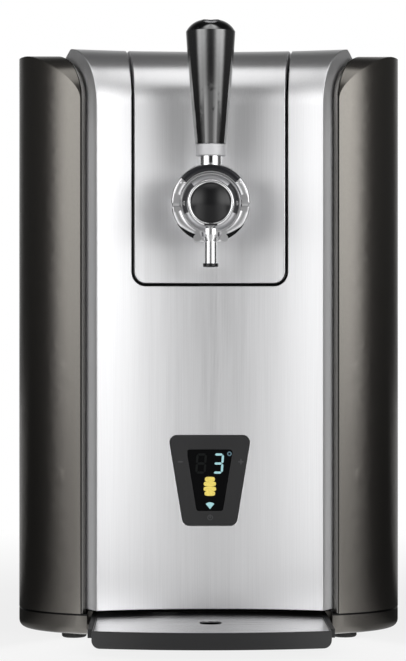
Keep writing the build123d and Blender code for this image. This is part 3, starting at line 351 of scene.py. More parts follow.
def tint(material, texture, first, second, low=0.35, high=0.65, output=0,
         socket="Base Color"):
    """Lets the texture's value between low and high mix a colour socket from first to second."""
    ramp = fed(material, "ShaderNodeValToRGB", (texture, output))
    ramp.color_ramp.elements[0].position = low
    ramp.color_ramp.elements[0].color = (*first, 1.0)
    ramp.color_ramp.elements[1].position = high
    ramp.color_ramp.elements[1].color = (*second, 1.0)
    join(material, ramp, "Color", principled(material), socket)


def scaled(colour, factor):
    return tuple(min(1.0, channel * factor) for channel in colour)


def set_ramp(ramp, stops):
    """Puts grey stops, as (place, value), into a colour ramp."""
    elements = ramp.color_ramp.elements
    for place, value in stops[1:-1]:
        elements.new(place)
    for element, (place, value) in zip(elements, stops):
        element.position = place
        element.color = (value, value, value, 1)


def turn_share(owner, place, output):
    """Node with the turn of a place from straight ahead: |atan2(x, -y)| divided by pi."""
    axes = fed(owner, "ShaderNodeSeparateXYZ", (place, output))
    ahead = fed(owner, "ShaderNodeMath", (axes, "Y"), operation="MULTIPLY")
    ahead.inputs[1].default_value = -1.0
    turn = fed(owner, "ShaderNodeMath", (axes, "X"), (ahead, 0), operation="ARCTAN2")
    size = fed(owner, "ShaderNodeMath", (turn, 0), operation="ABSOLUTE")
    share = fed(owner, "ShaderNodeMath", (size, 0), operation="DIVIDE")
    share.inputs[1].default_value = math.pi
    return share


# ------------------------------------------------------------------ finishes
def brushed_metal(name, colour, rough, stretch, spread=0.0, metal=1.0):
    """Metal with fine brush lines: noise drawn out along the brushing, as tone, gloss and relief.

    Brushing along the height spreads each reflection sideways, by the amount spread.
    """
    material = shader(name, colour, rough, metal, Anisotropic=spread)
    sideways = add_node(material, "ShaderNodeCombineXYZ", X=1.0)
    join(material, sideways, "Vector", principled(material), "Tangent")
    lines = pattern(material, "ShaderNodeTexNoise", stretch, Scale=1.0, Detail=4.0)
    tint(material, lines, scaled(colour, 0.96), scaled(colour, 1.04), low=0.3, high=0.7)
    vary(material, lines, low=rough - 0.03, high=rough + 0.05)
    bump(material, lines, height=0.012 * MM, strength=0.35)
    return material


def polished_metal(name, colour, rough):
    """Bright plated metal with a faint unevenness of gloss."""
    material = shader(name, colour, rough, metal=1.0)
    haze = pattern(material, "ShaderNodeTexNoise", Scale=90.0, Detail=3.0)
    vary(material, haze, low=rough - 0.02, high=rough + 0.05)
    return material


def moulded_plastic(name, colour, rough):
    """Moulded plastic with a fine leathery grain and slight changes of gloss."""
    material = shader(name, colour, rough)
    skin = pattern(material, "ShaderNodeTexNoise", Scale=1700.0, Detail=2.0)
    patches = pattern(material, "ShaderNodeTexNoise", Scale=14.0, Detail=3.0)
    bump(material, skin, height=0.03 * MM, strength=0.6)
    vary(material, patches, low=rough - 0.04, high=rough + 0.05)
    return material


def lacquer(name, colour, rough):
    """Metallic paint: fine flecks in the colour under a clear coat with a trace of orange peel."""
    material = shader(name, colour, rough, metal=1.0, Coat_Weight=0.35, Coat_Roughness=0.16)
    flecks = pattern(material, "ShaderNodeTexVoronoi", Scale=5200.0)
    tint(material, flecks, scaled(colour, 0.88), scaled(colour, 1.14), low=0.1, high=0.9,
         output="Color")
    peel = pattern(material, "ShaderNodeTexNoise", Scale=420.0, Detail=1.0)
    bump(material, peel, height=0.01 * MM, strength=0.3)
    return material


def base_coat_and_seam_shade(name, colour, rough):
    """Metallic lacquer on the base, painted black where it reaches up into the seam under the
    shells: painted shade of the seam.
    """
    material = lacquer(name, colour, rough)
    flecks = principled(material).inputs["Base Color"].links[0].from_node
    place = add_node(material, "ShaderNodeTexCoord")
    axes = fed(material, "ShaderNodeSeparateXYZ", (place, "Object"))
    # Painted shade of the seam: over the seam's low edge the lacquer's colour turns black.
    above = fed(material, "ShaderNodeMapRange", (axes, "Z"), From_Min=SEAM_SHADE_LOW * MM,
                From_Max=(SEAM_SHADE_LOW + SEAM_SHADE_BLEND) * MM)
    black = fed(material, "ShaderNodeMixRGB", (above, "Result"), (flecks, "Color"),
                Color2=(0.004, 0.004, 0.004, 1.0))
    join(material, black, "Color", principled(material), "Base Color")
    return material


def gloss_plastic(name, colour, rough, mirror, coat, coat_index=1.5, coat_rough=0.04):
    """Polished dark plastic with a clear coat and a few soft smears in the gloss."""
    material = shader(name, colour, rough, Specular_IOR_Level=mirror, Coat_Weight=coat,
                      Coat_IOR=coat_index, Coat_Roughness=coat_rough)
    smears = pattern(material, "ShaderNodeTexNoise", (1, 1, 0.5), Scale=60.0, Detail=3.0)
    vary(material, smears, low=rough, high=rough + 0.02)
    return material


def lit_figure(name, colour):
    """Segment behind dark glass: it glows in its colour, a little weaker in patches."""
    material = shader(name, scaled(colour, 0.02), rough=0.4, Emission_Strength=1.0,
                      Specular_IOR_Level=0.1)
    patches = pattern(material, "ShaderNodeTexNoise", Scale=900.0, Detail=2.0)
    tint(material, patches, scaled(colour, 0.86), scaled(colour, 1.06), low=0.3, high=0.7,
         socket="Emission Color")
    return material


def printed_ink_and_slot_shade(name, colour):
    """Screen-printed ink: matt, with a faint mottle. The same matt dark ink also paints the shade
    of slots.
    """
    material = shader(name, colour, rough=0.55)
    mottle = pattern(material, "ShaderNodeTexNoise", Scale=1500.0, Detail=2.0)
    tint(material, mottle, scaled(colour, 0.85), scaled(colour, 1.15))
    return material


def flank_painted_light(material, metal, flank):
    """Painted light on the front's bent flanks: metallic falls from metal to flank, so more
    diffuse light brightens them.

    The share grows as |x| crosses FLANK_ACROSS and fades out as the height crosses FLANK_UP, so
    the roll and the top keep one tone.
    """
    place = add_node(material, "ShaderNodeTexCoord")
    axes = fed(material, "ShaderNodeSeparateXYZ", (place, "Object"))
    across = fed(material, "ShaderNodeMath", (axes, "X"), operation="ABSOLUTE")
    beside = fed(material, "ShaderNodeMapRange", (across, 0), From_Min=FLANK_ACROSS[0] * MM,
                 From_Max=FLANK_ACROSS[1] * MM)
    below = fed(material, "ShaderNodeMapRange", (axes, "Z"), From_Min=FLANK_UP[1] * MM,
                From_Max=FLANK_UP[0] * MM)
    both = fed(material, "ShaderNodeMath", (beside, "Result"), (below, "Result"),
               operation="MULTIPLY")
    share = fed(material, "ShaderNodeMapRange", (both, 0), To_Min=metal, To_Max=flank)
    join(material, share, "Result", principled(material), "Metallic")


def soft_rubber(name):
    """Matt black rubber with a dusty, finely pitted surface."""
    material = shader(name, (0.02, 0.02, 0.02), rough=0.8)
    pits = pattern(material, "ShaderNodeTexNoise", Scale=1300.0, Detail=3.0)
    bump(material, pits, height=0.05 * MM, strength=0.7)
    tint(material, pits, (0.014, 0.014, 0.014), (0.035, 0.034, 0.033))
    return material


def closed_foam(name):
    """Pale rigid foam: small closed cells as relief and tone."""
    colour = (0.72, 0.66, 0.5)
    material = shader(name, colour, rough=0.85)
    cells = pattern(material, "ShaderNodeTexVoronoi", Scale=620.0)
    bump(material, cells, height=0.5 * MM, strength=0.7, output="Distance")
    tint(material, cells, scaled(colour, 0.8), scaled(colour, 1.1), low=0.1, high=0.7,
         output="Distance")
    return material


def circuit_board(name):
    """Green solder mask over a grid of copper runs that shows as slightly paler lines."""
    material = shader(name, (0.02, 0.12, 0.05), rough=0.38, Coat_Weight=0.4)
    runs = pattern(material, "ShaderNodeTexBrick", Scale=160.0, Mortar_Size=0.03,
                   Color1=(0.015, 0.1, 0.04, 1), Color2=(0.02, 0.14, 0.055, 1),
                   Mortar=(0.06, 0.26, 0.11, 1))
    join(material, runs, "Color", principled(material), "Base Color")
    return material


def zinc_sheet(name):
    """Zinc plated sheet steel with its patchwork of dull crystals."""
    colour = (0.5, 0.51, 0.53)
    material = shader(name, colour, rough=0.42, metal=0.9)
    crystals = pattern(material, "ShaderNodeTexVoronoi", Scale=130.0)
    tint(material, crystals, scaled(colour, 0.82), scaled(colour, 1.15), low=0.0, high=1.0,
         output="Color")
    vary(material, crystals, low=0.34, high=0.5, output="Color")
    return material


def white_ceramic(name):
    """White ceramic with a faint speckle."""
    material = shader(name, (0.8, 0.8, 0.77), rough=0.5)
    specks = pattern(material, "ShaderNodeTexNoise", Scale=900.0, Detail=4.0)
    tint(material, specks, (0.7, 0.7, 0.67), (0.85, 0.85, 0.83))
    return material


def make_finishes(finish):
    """Every finish of the record's slots by its slot name, and those of single pieces."""
    upright = (2600, 2600, 14)
    crosswise = (14, 2600, 2600)
    round_about = (14, 14, 3600)
    silver = brushed_metal("silver", finish.silver, 0.32, upright, spread=0.65, metal=0.88)
    # Painted light: a lower metallic brightens the silver's bent flanks.
    flank_painted_light(silver, metal=0.88, flank=0.3)
    return {
        "silver": silver,
        "graphite": lacquer("graphite", finish.graphite, rough=0.24),
        "base_coat_and_seam_shade": base_coat_and_seam_shade("base_coat_and_seam_shade", scaled(finish.graphite, 0.63), rough=0.27),
        "trim": lacquer("trim", finish.trim, rough=0.36),
        "black_plastic": moulded_plastic("black_plastic", finish.black_plastic, rough=0.45),
        "gloss_black": gloss_plastic("gloss_black", finish.gloss_black, rough=0.2, mirror=0.35,
                                     coat=0.2, coat_rough=0.1),
        "grip": gloss_plastic("grip", scaled(finish.gloss_black, 0.6), rough=0.08, mirror=0.8,
                              coat=1.0, coat_index=2.2, coat_rough=0.06),
        "window": gloss_plastic("window", (0.0025, 0.0025, 0.003), rough=0.06, mirror=0.08,
                                coat=0.0),
        "chrome": polished_metal("chrome", finish.chrome, rough=0.19),
        "satin_chrome": polished_metal("satin_chrome", scaled(finish.chrome, 0.9), rough=0.3),
        "steel": brushed_metal("steel", finish.steel, 0.28, crosswise),
        "turned": brushed_metal("turned", scaled(finish.steel, 1.12), 0.46, round_about,
                                spread=0.85, metal=0.85),
        "channel": moulded_plastic("channel", (0.085, 0.085, 0.09), rough=0.4),
        # Painted shade of slots: matt near-black ink on plates that stand for the slots' shade.
        "slot_shade": printed_ink_and_slot_shade("slot_shade", (0.012, 0.012, 0.013)),
        "lit_blue": lit_figure("lit_blue", (0.40, 0.68, 0.72)),
        "lit_dim": lit_figure("lit_dim", (0.12, 0.2, 0.24)),
        "lit_amber": lit_figure("lit_amber", (0.83, 0.67, 0.16)),
        "unlit": lit_figure("unlit", (0.007, 0.008, 0.008)),
        "mark": printed_ink_and_slot_shade("mark", (0.06, 0.06, 0.063)),
        "liner": brushed_metal("liner", (0.66, 0.67, 0.68), 0.4, (900, 900, 30)),
        "foam": closed_foam("foam"),
        "rubber": soft_rubber("rubber"),
        "board": circuit_board("board"),
        "electric": zinc_sheet("electric"),
        "ceramic": white_ceramic("ceramic"),
    }


# Nodes that have a finish of their own in place of their slot's.
OWN_FINISH = {"handle_grip": "grip", "handle_ferrule": "turned", "handle_badge": "turned",
              "base": "base_coat_and_seam_shade", "tap_ring": "satin_chrome", "lever_yoke": "satin_chrome",
              "tap_body": "satin_chrome"}


# ------------------------------------------------------------------ operators
class DISPENSER_OT_finishes(bpy.types.Operator):
    """Give every carried-over node the finish of its slot, or its own"""

    bl_idname = "dispenser.finishes"
    bl_label = "Finishes"

    def execute(self, context):
        finishes = make_finishes(context.scene.dispenser_finish)
        for node, slot in SLOT_OF.items():
            materials = NODES[node].data.materials
            materials.clear()
            materials.append(finishes[OWN_FINISH.get(node, slot)])
        return {"FINISHED"}


class DISPENSER_OT_edges(bpy.types.Operator):
    """Round the sharp edges of the panels, strips, bracket, tray and bezel"""

    bl_idname = "dispenser.edges"
    bl_label = "Rounded edges"

    def execute(self, context):
        for node, radius in EDGE_RADII.items():
            piece = merged_copy(node, f"{node}_rounded")
            rounding = piece.modifiers.new("rounding", "BEVEL")
            rounding.width = radius * MM
            rounding.segments = EDGE_STEPS
            rounding.angle_limit = math.radians(EDGE_ANGLE)
            rounding.use_clamp_overlap = False
            shading = piece.modifiers.new("shading", "WEIGHTED_NORMAL")
            shading.weight = FLAT_FACE_WEIGHT
            piece.data.materials.append(NODES[node].data.materials[0])
            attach(piece, BODY_OF[node])
            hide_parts(node)
        return {"FINISHED"}


class DISPENSER_OT_base(bpy.types.Operator):
    """Wrap the base in a skirt with a rounded lower edge, flush with the side shells"""

    bl_idname = "dispenser.base"
    bl_label = "Base skirt"

    def execute(self, context):
        rounding = context.scene.dispenser_detail.skirt_round / MM
        dress([skirt(rounding)], "base_skirt", "base_coat_and_seam_shade", "base")
        return {"FINISHED"}


class DISPENSER_OT_display(bpy.types.Operator):
    """Lay the figures and signs on the display window and its bezel"""

    bl_idname = "dispenser.display"
    bl_label = "Display figures"

    def execute(self, context):
        rise = context.scene.dispenser_detail.figure_rise / MM
        digit = seven_segments("abgcd", DIGIT_X, DIGIT_Z)
        digit.append(fan_outline(*WAVE_PLACE, WAVE_REACH, WAVE_RADIUS))
        ghost = seven_segments("abcdefg", GHOST_X, DIGIT_Z)
        keg = [pillow(KEG_X, z, half, HOOP_HALF, HOOP_SQUARENESS) for z, half in KEG_HOOPS]
        for outlines, name, finish in ((digit, "display_digit", "lit_blue"),
                                       (ghost, "display_ghost", "unlit"),
                                       (keg, "display_keg", "lit_amber")):
            parts = [on_face(outline, WINDOW_PROUD, rise) for outline in outlines]
            dress(parts, name, finish, "display_window")
        degree = face_ring(*DEGREE_PLACE, *DEGREE_RADII, WINDOW_PROUD, rise)
        dress([degree], "display_degree", "lit_dim", "display_window")
        touch = [pillow(MINUS_X, TOUCH_Z, STROKE_LONG, STROKE_THIN),
                 pillow(PLUS_X, TOUCH_Z, STROKE_LONG, STROKE_THIN),
                 pillow(PLUS_X, TOUCH_Z, STROKE_THIN, STROKE_LONG),
                 pillow(POWER_X, POWER_Z + POWER_STROKE_UP, *POWER_STROKE)]
        marks = [on_face(outline, BEZEL_PROUD, rise) for outline in touch]
        marks.append(face_ring(POWER_X, POWER_Z, *POWER_RADII, BEZEL_PROUD, rise))
        dress(marks, "touch_marks", "mark", "display_bezel")
        return {"FINISHED"}


class DISPENSER_OT_tap(bpy.types.Operator):
    """Crown the tap's ring and its black inlay, and line the dish round the medallion"""

    bl_idname = "dispenser.tap"
    bl_label = "Tap fittings"

    def execute(self, context):
        detail = context.scene.dispenser_detail
        rise = detail.crown_rise / MM
        radius = detail.stud_radius / MM
        sides = (right_side, left_side)
        upper = [arc_band((YOKE_INNER, RING_RIM), YOKE_SPAN, side, RING_FRONT, rise)
                 for side in sides]
        dress(upper, "yoke_crown", "satin_chrome", "lever_yoke")
        inlay = arc_band(INLAY_RADII, INLAY_SPAN, right_side, RING_FRONT - INLAY_PROUD, rise)
        dress([inlay], "inlay_crown", "gloss_black", "yoke_insert")
        lower = [arc_band((RING_INNER, crescent_edge), LOWER_SPAN, side, RING_FRONT, rise)
                 for side in sides]
        dress(lower, "ring_crown", "satin_chrome", "tap_ring")
        channels = [arc_band(CHANNEL_RADII, CHANNEL_SPAN, side, cove_depth, CHANNEL_RISE)
                    for side in sides]
        dress(channels, "dish_channels", "channel", "tap_body")
        # Painted shade: dark plates stand for the shade in the slots under the medallion and in
        # the neck.
        slot = pillow(0, TAP_Z - BEZEL_SLOT_DROP, *BEZEL_SLOT_HALVES)
        dress([plate(slot, *BEZEL_SLOT_DEPTHS)], "bezel_slot_shade", "slot_shade", "medallion_bezel")
        dress([neck_patch(NECK_SLOT_HALF, *NECK_SLOT_SPAN)], "neck_slot_shade", "slot_shade", "handle_neck")
        studs = [dome(*round_tap(side(angle), reach), radius, RING_FRONT - STUD_STEM, STUD_RISE)
                 for angle, reach in STUDS for side in sides]
        dress(studs, "yoke_studs", "chrome", "lever_yoke")
        return {"FINISHED"}


class DISPENSER_OT_stage(bpy.types.Operator):
    """Set up the floor, the light tent and the camera"""

    bl_idname = "dispenser.stage"
    bl_label = "Stage"

    def execute(self, context):
        stage = context.scene.dispenser_stage
        context.scene.view_settings.view_transform = "Standard"
        floor = put_mesh("floor", *floor_disc())
        floor.data.materials.append(floor_finish(stage))
        context.scene.world = light_tent(stage)
        context.scene.camera = put_camera(stage)
        return {"FINISHED"}


# ------------------------------------------------------------------ outlines, in mm
def pillow(x, z, half_x, half_z, squareness=5.0):
    """Outline of a rounded box: |u|^n + |v|^n = 1 with n = squareness, stretched to its halves."""
    turn = np.linspace(0, 2 * np.pi, 28, endpoint=False)
    power = 2 / squareness
    across = np.sign(np.cos(turn)) * np.abs(np.cos(turn)) ** power
    up = np.sign(np.sin(turn)) * np.abs(np.sin(turn)) ** power
    return np.stack([x + half_x * across, z + half_z * up], -1)


def fan_outline(x, z, reach, radius):
    """Outline of a fan: its point below, and above it an arc that reaches this far each side."""
    half = math.asin(reach / radius)
    turn = np.linspace(-half, half, 12)
    arc = np.stack([x - radius * np.sin(turn), z - radius / 2 + radius * np.cos(turn)], -1)
    return np.concatenate([[[x, z - radius / 2]], arc])


def seven_segments(lit, x, z, half_x=3.0, half_z=6.5, thick=0.78, lean=0.07, near=0.25):
    """Outlines of the lit bars of a digit.

    Each bar is a hexagon, as thick each side of its middle line and ending near short of the
    corner. Every point moves right by lean times its height.
    """
    flat = np.array([[-1, 0], [-1, -1], [1, -1], [1, 0], [1, 1], [-1, 1]], float)
    pointed = np.array([1, 0, 0, 1, 0, 0])
    bars = {"a": (0, 1, True), "g": (0, 0, True), "d": (0, -1, True), "b": (1, 0.5, False),
            "c": (1, -0.5, False), "f": (-1, 0.5, False), "e": (-1, -0.5, False)}
    outlines = []
    for name in lit:
        across, up, level = bars[name]
        half = (half_x if level else half_z / 2) - near
        along = flat[:, 0] * (half - thick * (1 - pointed))
        wide = flat[:, 1] * thick
        bar = np.stack([along, wide] if level else [-wide, along], -1)
        bar = bar + [across * half_x, up * half_z]
        outlines.append(np.stack([x + bar[:, 0] + lean * bar[:, 1], z + bar[:, 1]], -1))
    return outlines


def housing_plan(inset):
    """Path round the housing from the right of the tray's slot, by the rear, to its left.

    A quarter of an ellipse at each front corner, straight flanks and round rear corners, all
    moved in by inset.
    """
    start = math.asin((QUARTER_Y - SHELL_FRONT - inset) / (QUARTER_B - inset))
    quarter = np.linspace(start, 0, 24)
    turn = np.linspace(0, np.pi / 2, 12)
    corner = REAR_CORNER - inset
    right = np.concatenate([
        [[SLOT_EDGE, SHELL_FRONT + inset]],
        np.stack([QUARTER_X + (QUARTER_A - inset) * np.cos(quarter),
                  QUARTER_Y - (QUARTER_B - inset) * np.sin(quarter)], -1),
        np.stack([HALF_WIDTH - REAR_CORNER + corner * np.cos(turn),
                  REAR_Y - REAR_CORNER + corner * np.sin(turn)], -1)])
    return np.concatenate([right, right[::-1] * [-1, 1]])


def circle_through(first, second, third):
    """Middle and radius of the circle through three points, from equal squared distances."""
    points = np.array([first, second, third])
    sides = 2 * (points[1:] - points[0])
    squares = (points ** 2).sum(1)
    middle = np.linalg.solve(sides, squares[1:] - squares[0])
    return middle[0], middle[1], math.dist(middle, first)


def right_side(angle):
    return angle


def left_side(angle):
    return 180 - angle


def crescent_edge(angle):
    """Outer radius of the lower ring: its rim, or a circle about a point over the ring's axis.

    From the axis that circle lies at up * sin(a) + sqrt(radius^2 - (up * cos(a))^2).
    """
    edge = (CRESCENT_UP * np.sin(angle)
            + np.sqrt(CRESCENT_RADIUS ** 2 - (CRESCENT_UP * np.cos(angle)) ** 2))
    return np.minimum(RING_RIM, edge - CRESCENT_GAP)


def cove_depth(radius):
    """Depth of the dish: the arc of a circle through its rim, its middle and its floor."""
    middle_r, middle_y, size = circle_through(*COVE_POINTS)
    return middle_y + np.sqrt(size ** 2 - (radius - middle_r) ** 2) - COVE_LIFT


def round_tap(angle, radius):
    """Place, across and up, at this angle in degrees and radius round the tap's axis."""
    turn = math.radians(angle)
    return radius * math.cos(turn), TAP_Z + radius * math.sin(turn)


# ------------------------------------------------------------------ closed solids, in mm
def prism(outline, back, front):
    """The outline at the depths back and front, closed by two caps and a wall."""
    count = len(outline)
    points = np.concatenate([np.stack([outline[:, 0], depth, outline[:, 1]], -1)
                             for depth in (front, back)])
    first = np.arange(count)
    after = (first + 1) % count
    walls = np.stack([first, first + count, after + count, after], -1).tolist()
    caps = [first.tolist(), (first[::-1] + count).tolist()]
    return points, walls + caps


def plate(outline, low, high):
    """Closed plate in front of the plane y = 0: the outline at two distances, low and high."""
    return prism(outline, np.full(len(outline), -low), np.full(len(outline), -high))


def face_depth(across, height):
    """Depth on the hollow front: y = axis + sqrt((radius - height)^2 - x^2)."""
    return FACE_AXIS_Y + np.sqrt((FACE_RADIUS - height) ** 2 - across ** 2)


def on_face(outline, proud, rise):
    """Closed plate on the hollow front, from just under the height proud to rise over it."""
    back = face_depth(outline[:, 0], proud - FIGURE_SINK)
    front = face_depth(outline[:, 0], proud + rise)
    return prism(outline, back, front)


def tube(sections, closed=False):
    """Closed skin over sections, an array of rings of points; open ends get caps."""
    count, size = sections.shape[:2]
    points = sections.reshape(-1, 3)
    faces = grid_faces(count, size, wrap=True)
    if closed:
        last = (count - 1) * size + np.arange(size)
        first = np.arange(size)
        faces += np.stack([last, np.roll(last, -1), np.roll(first, -1), first], -1).tolist()
    else:
        faces += [list(range(size))[::-1], list(range((count - 1) * size, count * size))]
    return points, faces


def face_ring(x, z, inner, outer, proud, rise):
    """Flat ring on the hollow front: a small box section carried round its middle."""
    turn = np.linspace(0, 2 * np.pi, 40, endpoint=False)[:, None]
    radius = np.array([[inner, outer, outer, inner]])
    height = np.array([[rise, rise, -FIGURE_SINK, -FIGURE_SINK]]) + proud
    across = x + radius * np.cos(turn)
    rows = [across, face_depth(across, height), z + radius * np.sin(turn)]
    return tube(np.stack(rows, -1), closed=True)


def arc_band(radii, span, side, base, rise):
    """Domed band round the tap's axis, over a span of degrees on one side.

    Across it from the inner to the outer radius the share s runs from -1 to 1 and the front
    stands rise * sqrt(1 - s^2) before the base; the back lies BAND_BACK behind it. The outer
    radius may be a function of the angle, and the base a function of the radius.
    """
    inner, outer = radii
    start, stop = side(span[0]), side(span[1])
    angle = np.radians(np.linspace(start, stop, max(8, int(abs(stop - start) / 2))))[:, None]
    share = np.cos(np.linspace(np.pi, 0, 13))[None, :]
    far = outer(angle) if callable(outer) else outer + 0 * angle
    radius = inner + (far - inner) * (share + 1) / 2
    depth = base(radius) if callable(base) else base + 0 * radius
    front = depth - rise * np.sqrt(1 - share ** 2)
    across = radius * np.cos(angle)
    up = TAP_Z + radius * np.sin(angle)
    rows = [np.concatenate([grid, back[:, ::-1]], 1) for grid, back in
            ((across, across), (front, depth + BAND_BACK), (up, up))]
    return tube(np.stack(rows, -1))


def dome(x, z, radius, front, rise):
    """Round stud with a domed end: radius * sin(t) across and rise * cos(t) before the front."""
    turn = np.linspace(0, 2 * np.pi, 20, endpoint=False)[None, :]
    slope = np.linspace(0.12, 1, 6)[:, None] * np.pi / 2
    lift = np.concatenate([np.cos(slope), [[-1.0]]])
    size = np.concatenate([np.sin(slope), [[1.0]]])
    rows = [x + radius * size * np.cos(turn), front - rise * lift + 0 * turn,
            z + radius * size * np.sin(turn)]
    return tube(np.stack(rows, -1))


def neck_patch(half_width, low, high):
    """Thin curved plate on the neck: a stretch of its cylinder, from under to over its skin."""
    turn = np.linspace(-1, 1, 9)[:, None] * half_width / NECK_RADIUS
    outer = NECK_RADIUS + NECK_SLOT_PROUD
    inner = NECK_RADIUS - NECK_SLOT_SINK
    radius = np.array([[outer, outer, inner, inner]])
    height = np.array([[low, high, high, low]])
    rows = [radius * np.sin(turn), TAP_Y - radius * np.cos(turn), height + 0 * turn]
    return tube(np.stack(rows, -1))


def skirt(rounding):
    """Band round the base: wall, quarter round and hidden inner side carried along the plan."""
    turn = np.linspace(0, np.pi / 2, 9)
    edge = np.stack([SKIRT_INSET + rounding * (1 - np.cos(turn)),
                     SKIRT_LOW + rounding * (1 - np.sin(turn))], -1)
    profile = np.concatenate([[[SKIRT_BACK, SKIRT_TOP], [SKIRT_INSET, SKIRT_TOP]], edge,
                              [[SKIRT_INSET + rounding, SKIRT_HEEL], [SKIRT_BACK, SKIRT_KNEE]]])
    paths = np.stack([housing_plan(inset) for inset in profile[:, 0]], 1)
    heights = np.broadcast_to(profile[:, 1], paths.shape[:2])
    return tube(np.concatenate([paths, heights[..., None]], -1))


def grid_faces(rows, columns, wrap=False):
    """Quads of a grid of rows by columns; wrap joins the last column to the first."""
    span = columns if wrap else columns - 1
    row, column = np.meshgrid(np.arange(rows - 1), np.arange(span), indexing="ij")
    after = (column + 1) % columns
    quads = np.stack([row * columns + column, row * columns + after,
                      (row + 1) * columns + after, (row + 1) * columns + column], -1)
    return quads.reshape(-1, 4).tolist()


# ------------------------------------------------------------------ pieces
def put_object(name, mesh):
    """New smooth object at the origin with this mesh."""
    mesh.shade_smooth()
    piece = bpy.data.objects.new(name, mesh)
    bpy.context.scene.collection.objects.link(piece)
    return piece


def put_mesh(name, points, faces):
    """New object at the origin with these points, in metres, and faces."""
    mesh = bpy.data.meshes.new(name)
    mesh.from_pydata(points.tolist(), [], faces)
    return put_object(name, mesh)


def dress(parts, name, finish, node):
    """One piece of several closed parts, in this finish, that rides with the node.

    The pack brings plain materials named after the slots, so a slot's name, such as gloss_black
    or chrome, gives that plain one, and any other name gives one of make_finishes.
    """
    counts = np.cumsum([0] + [len(points) for points, faces in parts])
    points = np.concatenate([points for points, faces in parts]) * MM
    faces = [[int(count) + corner for corner in face]
             for count, (_, many) in zip(counts, parts) for face in many]
    piece = put_mesh(name, points, faces)
    face_outwards(piece.data)
    piece.data.materials.append(bpy.data.materials[finish])
    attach(piece, BODY_OF[node])


def face_outwards(mesh):
    """Turns every face of closed skins outwards, and marks the edges that stay sharp."""
    work = bmesh.new()
    work.from_mesh(mesh)
    bmesh.ops.recalc_face_normals(work, faces=work.faces)
    for edge in work.edges:
        edge.smooth = edge.calc_face_angle(0.0) < math.radians(CREASE_ANGLE)
    work.to_mesh(mesh)
    work.free()


def merged_copy(node, name):
    """Copy of a node's mesh with its corners merged and its flat faces joined."""
    work = bmesh.new()
    work.from_mesh(NODES[node].data)
    bmesh.ops.remove_doubles(work, verts=work.verts, dist=MERGE_GAP * MM)
    bmesh.ops.dissolve_limit(work, angle_limit=math.radians(JOIN_ANGLE), verts=work.verts,
                             edges=work.edges)
    mesh = bpy.data.meshes.new(name)
    work.to_mesh(mesh)
    work.free()
    return put_object(name, mesh)


# ------------------------------------------------------------------ studio
def floor_disc():
    """Round floor in metres: rings at radii that grow as squares, and a cap in the middle."""
    turns = np.linspace(0, 2 * np.pi, 64, endpoint=False)
    radii = FLOOR_RADIUS * np.linspace(0.05, 1, 20) ** 2
    ring, turn = np.meshgrid(radii, turns, indexing="ij")
    points = np.stack([ring * np.cos(turn), ring * np.sin(turn), 0 * ring], -1).reshape(-1, 3)
    faces = grid_faces(len(radii), len(turns), wrap=True)
    faces.append(list(range(len(turns))))
    return points, faces


def floor_finish(stage):
    """Matt floor whose colour is painted light and shade in tones by the turn; to the camera it
    fades to white far out.

    To glossy rays it is a light in the same tones, which is what polished parts mirror.
    """
    material = shader("floor", (0.8, 0.8, 0.8), rough=0.7)
    dull = pattern(material, "ShaderNodeTexNoise", Scale=3.0)
    vary(material, dull, low=0.65, high=0.8)
    place = add_node(material, "ShaderNodeTexCoord")
    # Painted light and shade: the floor's colour follows the turn, bright by the boxes, dark
    # elsewhere.
    tone = fed(material, "ShaderNodeValToRGB", (turn_share(material, place, "Object"), 0))
    set_ramp(tone, FLOOR_PAINTED_LIGHT)
    join(material, tone, "Color", principled(material), "Base Color")
    path = add_node(material, "ShaderNodeLightPath")
    reach = fed(material, "ShaderNodeVectorMath", (place, "Object"), operation="LENGTH")
    fade = fed(material, "ShaderNodeMapRange", (reach, "Value"), From_Min=FLOOR_FADE[0],
               From_Max=FLOOR_FADE[1], To_Min=stage.floor_glow)
    seen = fed(material, "ShaderNodeMath", (fade, "Result"), (path, "Is Camera Ray"),
               operation="MULTIPLY")
    white = add_node(material, "ShaderNodeEmission", Strength=1.0)
    faded = fed(material, "ShaderNodeMixShader", (seen, 0), (principled(material), 0), (white, 0))
    mirrored = fed(material, "ShaderNodeEmission", (tone, "Color"), Strength=stage.floor_mirror)
    either = fed(material, "ShaderNodeMixShader", (path, "Is Glossy Ray"), (faded, 0),
                 (mirrored, 0))
    join(material, either, 0, material.node_tree.nodes["Material Output"], "Surface")
    return material


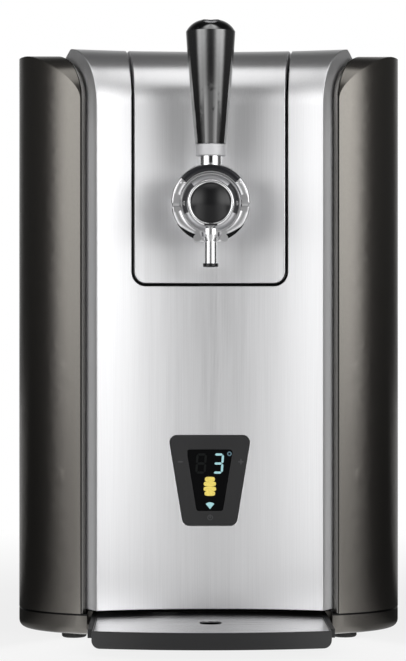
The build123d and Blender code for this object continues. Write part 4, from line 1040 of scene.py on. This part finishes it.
def light_tent(stage):
    """World: white to the camera, and to all else a studio of tall soft boxes.

    Its brightness is the product of a ramp over the turn from straight ahead, a ramp over
    the height and a dark patch high up behind the object, plus one box above the front, and
    all of it a little brighter on the right.
    """
    world = bpy.data.worlds.new("tent")
    world.use_nodes = True
    studio = world.node_tree.nodes["Background"]
    studio.inputs["Strength"].default_value = stage.tent_level
    place = add_node(world, "ShaderNodeTexCoord")
    axes = fed(world, "ShaderNodeSeparateXYZ", (place, "Generated"))
    round_about = fed(world, "ShaderNodeValToRGB", (turn_share(world, place, "Generated"), 0))
    set_ramp(round_about, TENT_ROUND)
    lift = fed(world, "ShaderNodeMapRange", (axes, "Z"), From_Min=-1.0)
    upward = fed(world, "ShaderNodeValToRGB", (lift, "Result"))
    set_ramp(upward, TENT_UP)
    dark = patch(world, place, **DARK_PATCH)
    bright = patch(world, place, **OVERHEAD_BOX, inside=stage.overhead)
    side = fed(world, "ShaderNodeMapRange", (axes, "X"), From_Min=-SIDE_BLEND,
               From_Max=SIDE_BLEND, To_Min=LEFT_GAIN, To_Max=stage.right_gain)
    level = (round_about, "Color")
    for operation, factor in (("MULTIPLY", (upward, "Color")), ("MULTIPLY", (dark, "Result")),
                              ("ADD", (bright, "Result")), ("MULTIPLY", (side, "Result"))):
        level = (fed(world, "ShaderNodeVectorMath", level, factor, operation=operation), 0)
    join(world, *level, studio, "Color")
    white = add_node(world, "ShaderNodeBackground", Color=(1, 1, 1, 1), Strength=1.0)
    path = add_node(world, "ShaderNodeLightPath")
    mix = fed(world, "ShaderNodeMixShader", (path, "Is Camera Ray"), (studio, 0), (white, 0))
    join(world, mix, 0, world.node_tree.nodes["World Output"], "Surface")
    return world


def patch(world, place, way, edge, core, outside, inside):
    """Node that goes from outside to inside as the direction nears way, by the dot product."""
    near = fed(world, "ShaderNodeVectorMath", (place, "Generated"), operation="DOT_PRODUCT")
    near.inputs[1].default_value = way
    return fed(world, "ShaderNodeMapRange", (near, "Value"), interpolation_type="SMOOTHSTEP",
               From_Min=edge, From_Max=core, To_Min=outside, To_Max=inside)


def put_camera(stage):
    """Camera at its place, level, and turned a little to the right."""
    data = bpy.data.cameras.new("camera")
    data.lens = stage.lens_length
    camera = bpy.data.objects.new("camera", data)
    bpy.context.scene.collection.objects.link(camera)
    camera.location = stage.camera_place
    camera.rotation_euler = (math.pi / 2, 0, -stage.camera_turn)
    return camera


# ------------------------------------------------------------------ panel and run
OPERATORS = (
    DISPENSER_OT_finishes,
    DISPENSER_OT_edges,
    DISPENSER_OT_base,
    DISPENSER_OT_display,
    DISPENSER_OT_tap,
    DISPENSER_OT_stage,
)


class DISPENSER_PT_sidebar(bpy.types.Panel):
    """Steps of the dressing, in order"""

    bl_label = "Keg dispenser"
    bl_idname = "DISPENSER_PT_sidebar"
    bl_space_type = "VIEW_3D"
    bl_region_type = "UI"
    bl_category = "Dispenser"

    def draw(self, context):
        for operator in OPERATORS:
            self.layout.operator(operator.bl_idname)


CLASSES = (*SETTINGS.values(), *OPERATORS, DISPENSER_PT_sidebar)


def register():
    for item in CLASSES:
        bpy.utils.register_class(item)
    for name, group in SETTINGS.items():
        setattr(bpy.types.Scene, name, bpy.props.PointerProperty(type=group))


def unregister():
    for name in SETTINGS:
        delattr(bpy.types.Scene, name)
    for item in reversed(CLASSES):
        bpy.utils.unregister_class(item)


def main():
    register()
    bpy.ops.dispenser.finishes()
    bpy.ops.dispenser.edges()
    bpy.ops.dispenser.base()
    bpy.ops.dispenser.display()
    bpy.ops.dispenser.tap()
    bpy.ops.dispenser.stage()


if __name__ == "__main__":
    main()
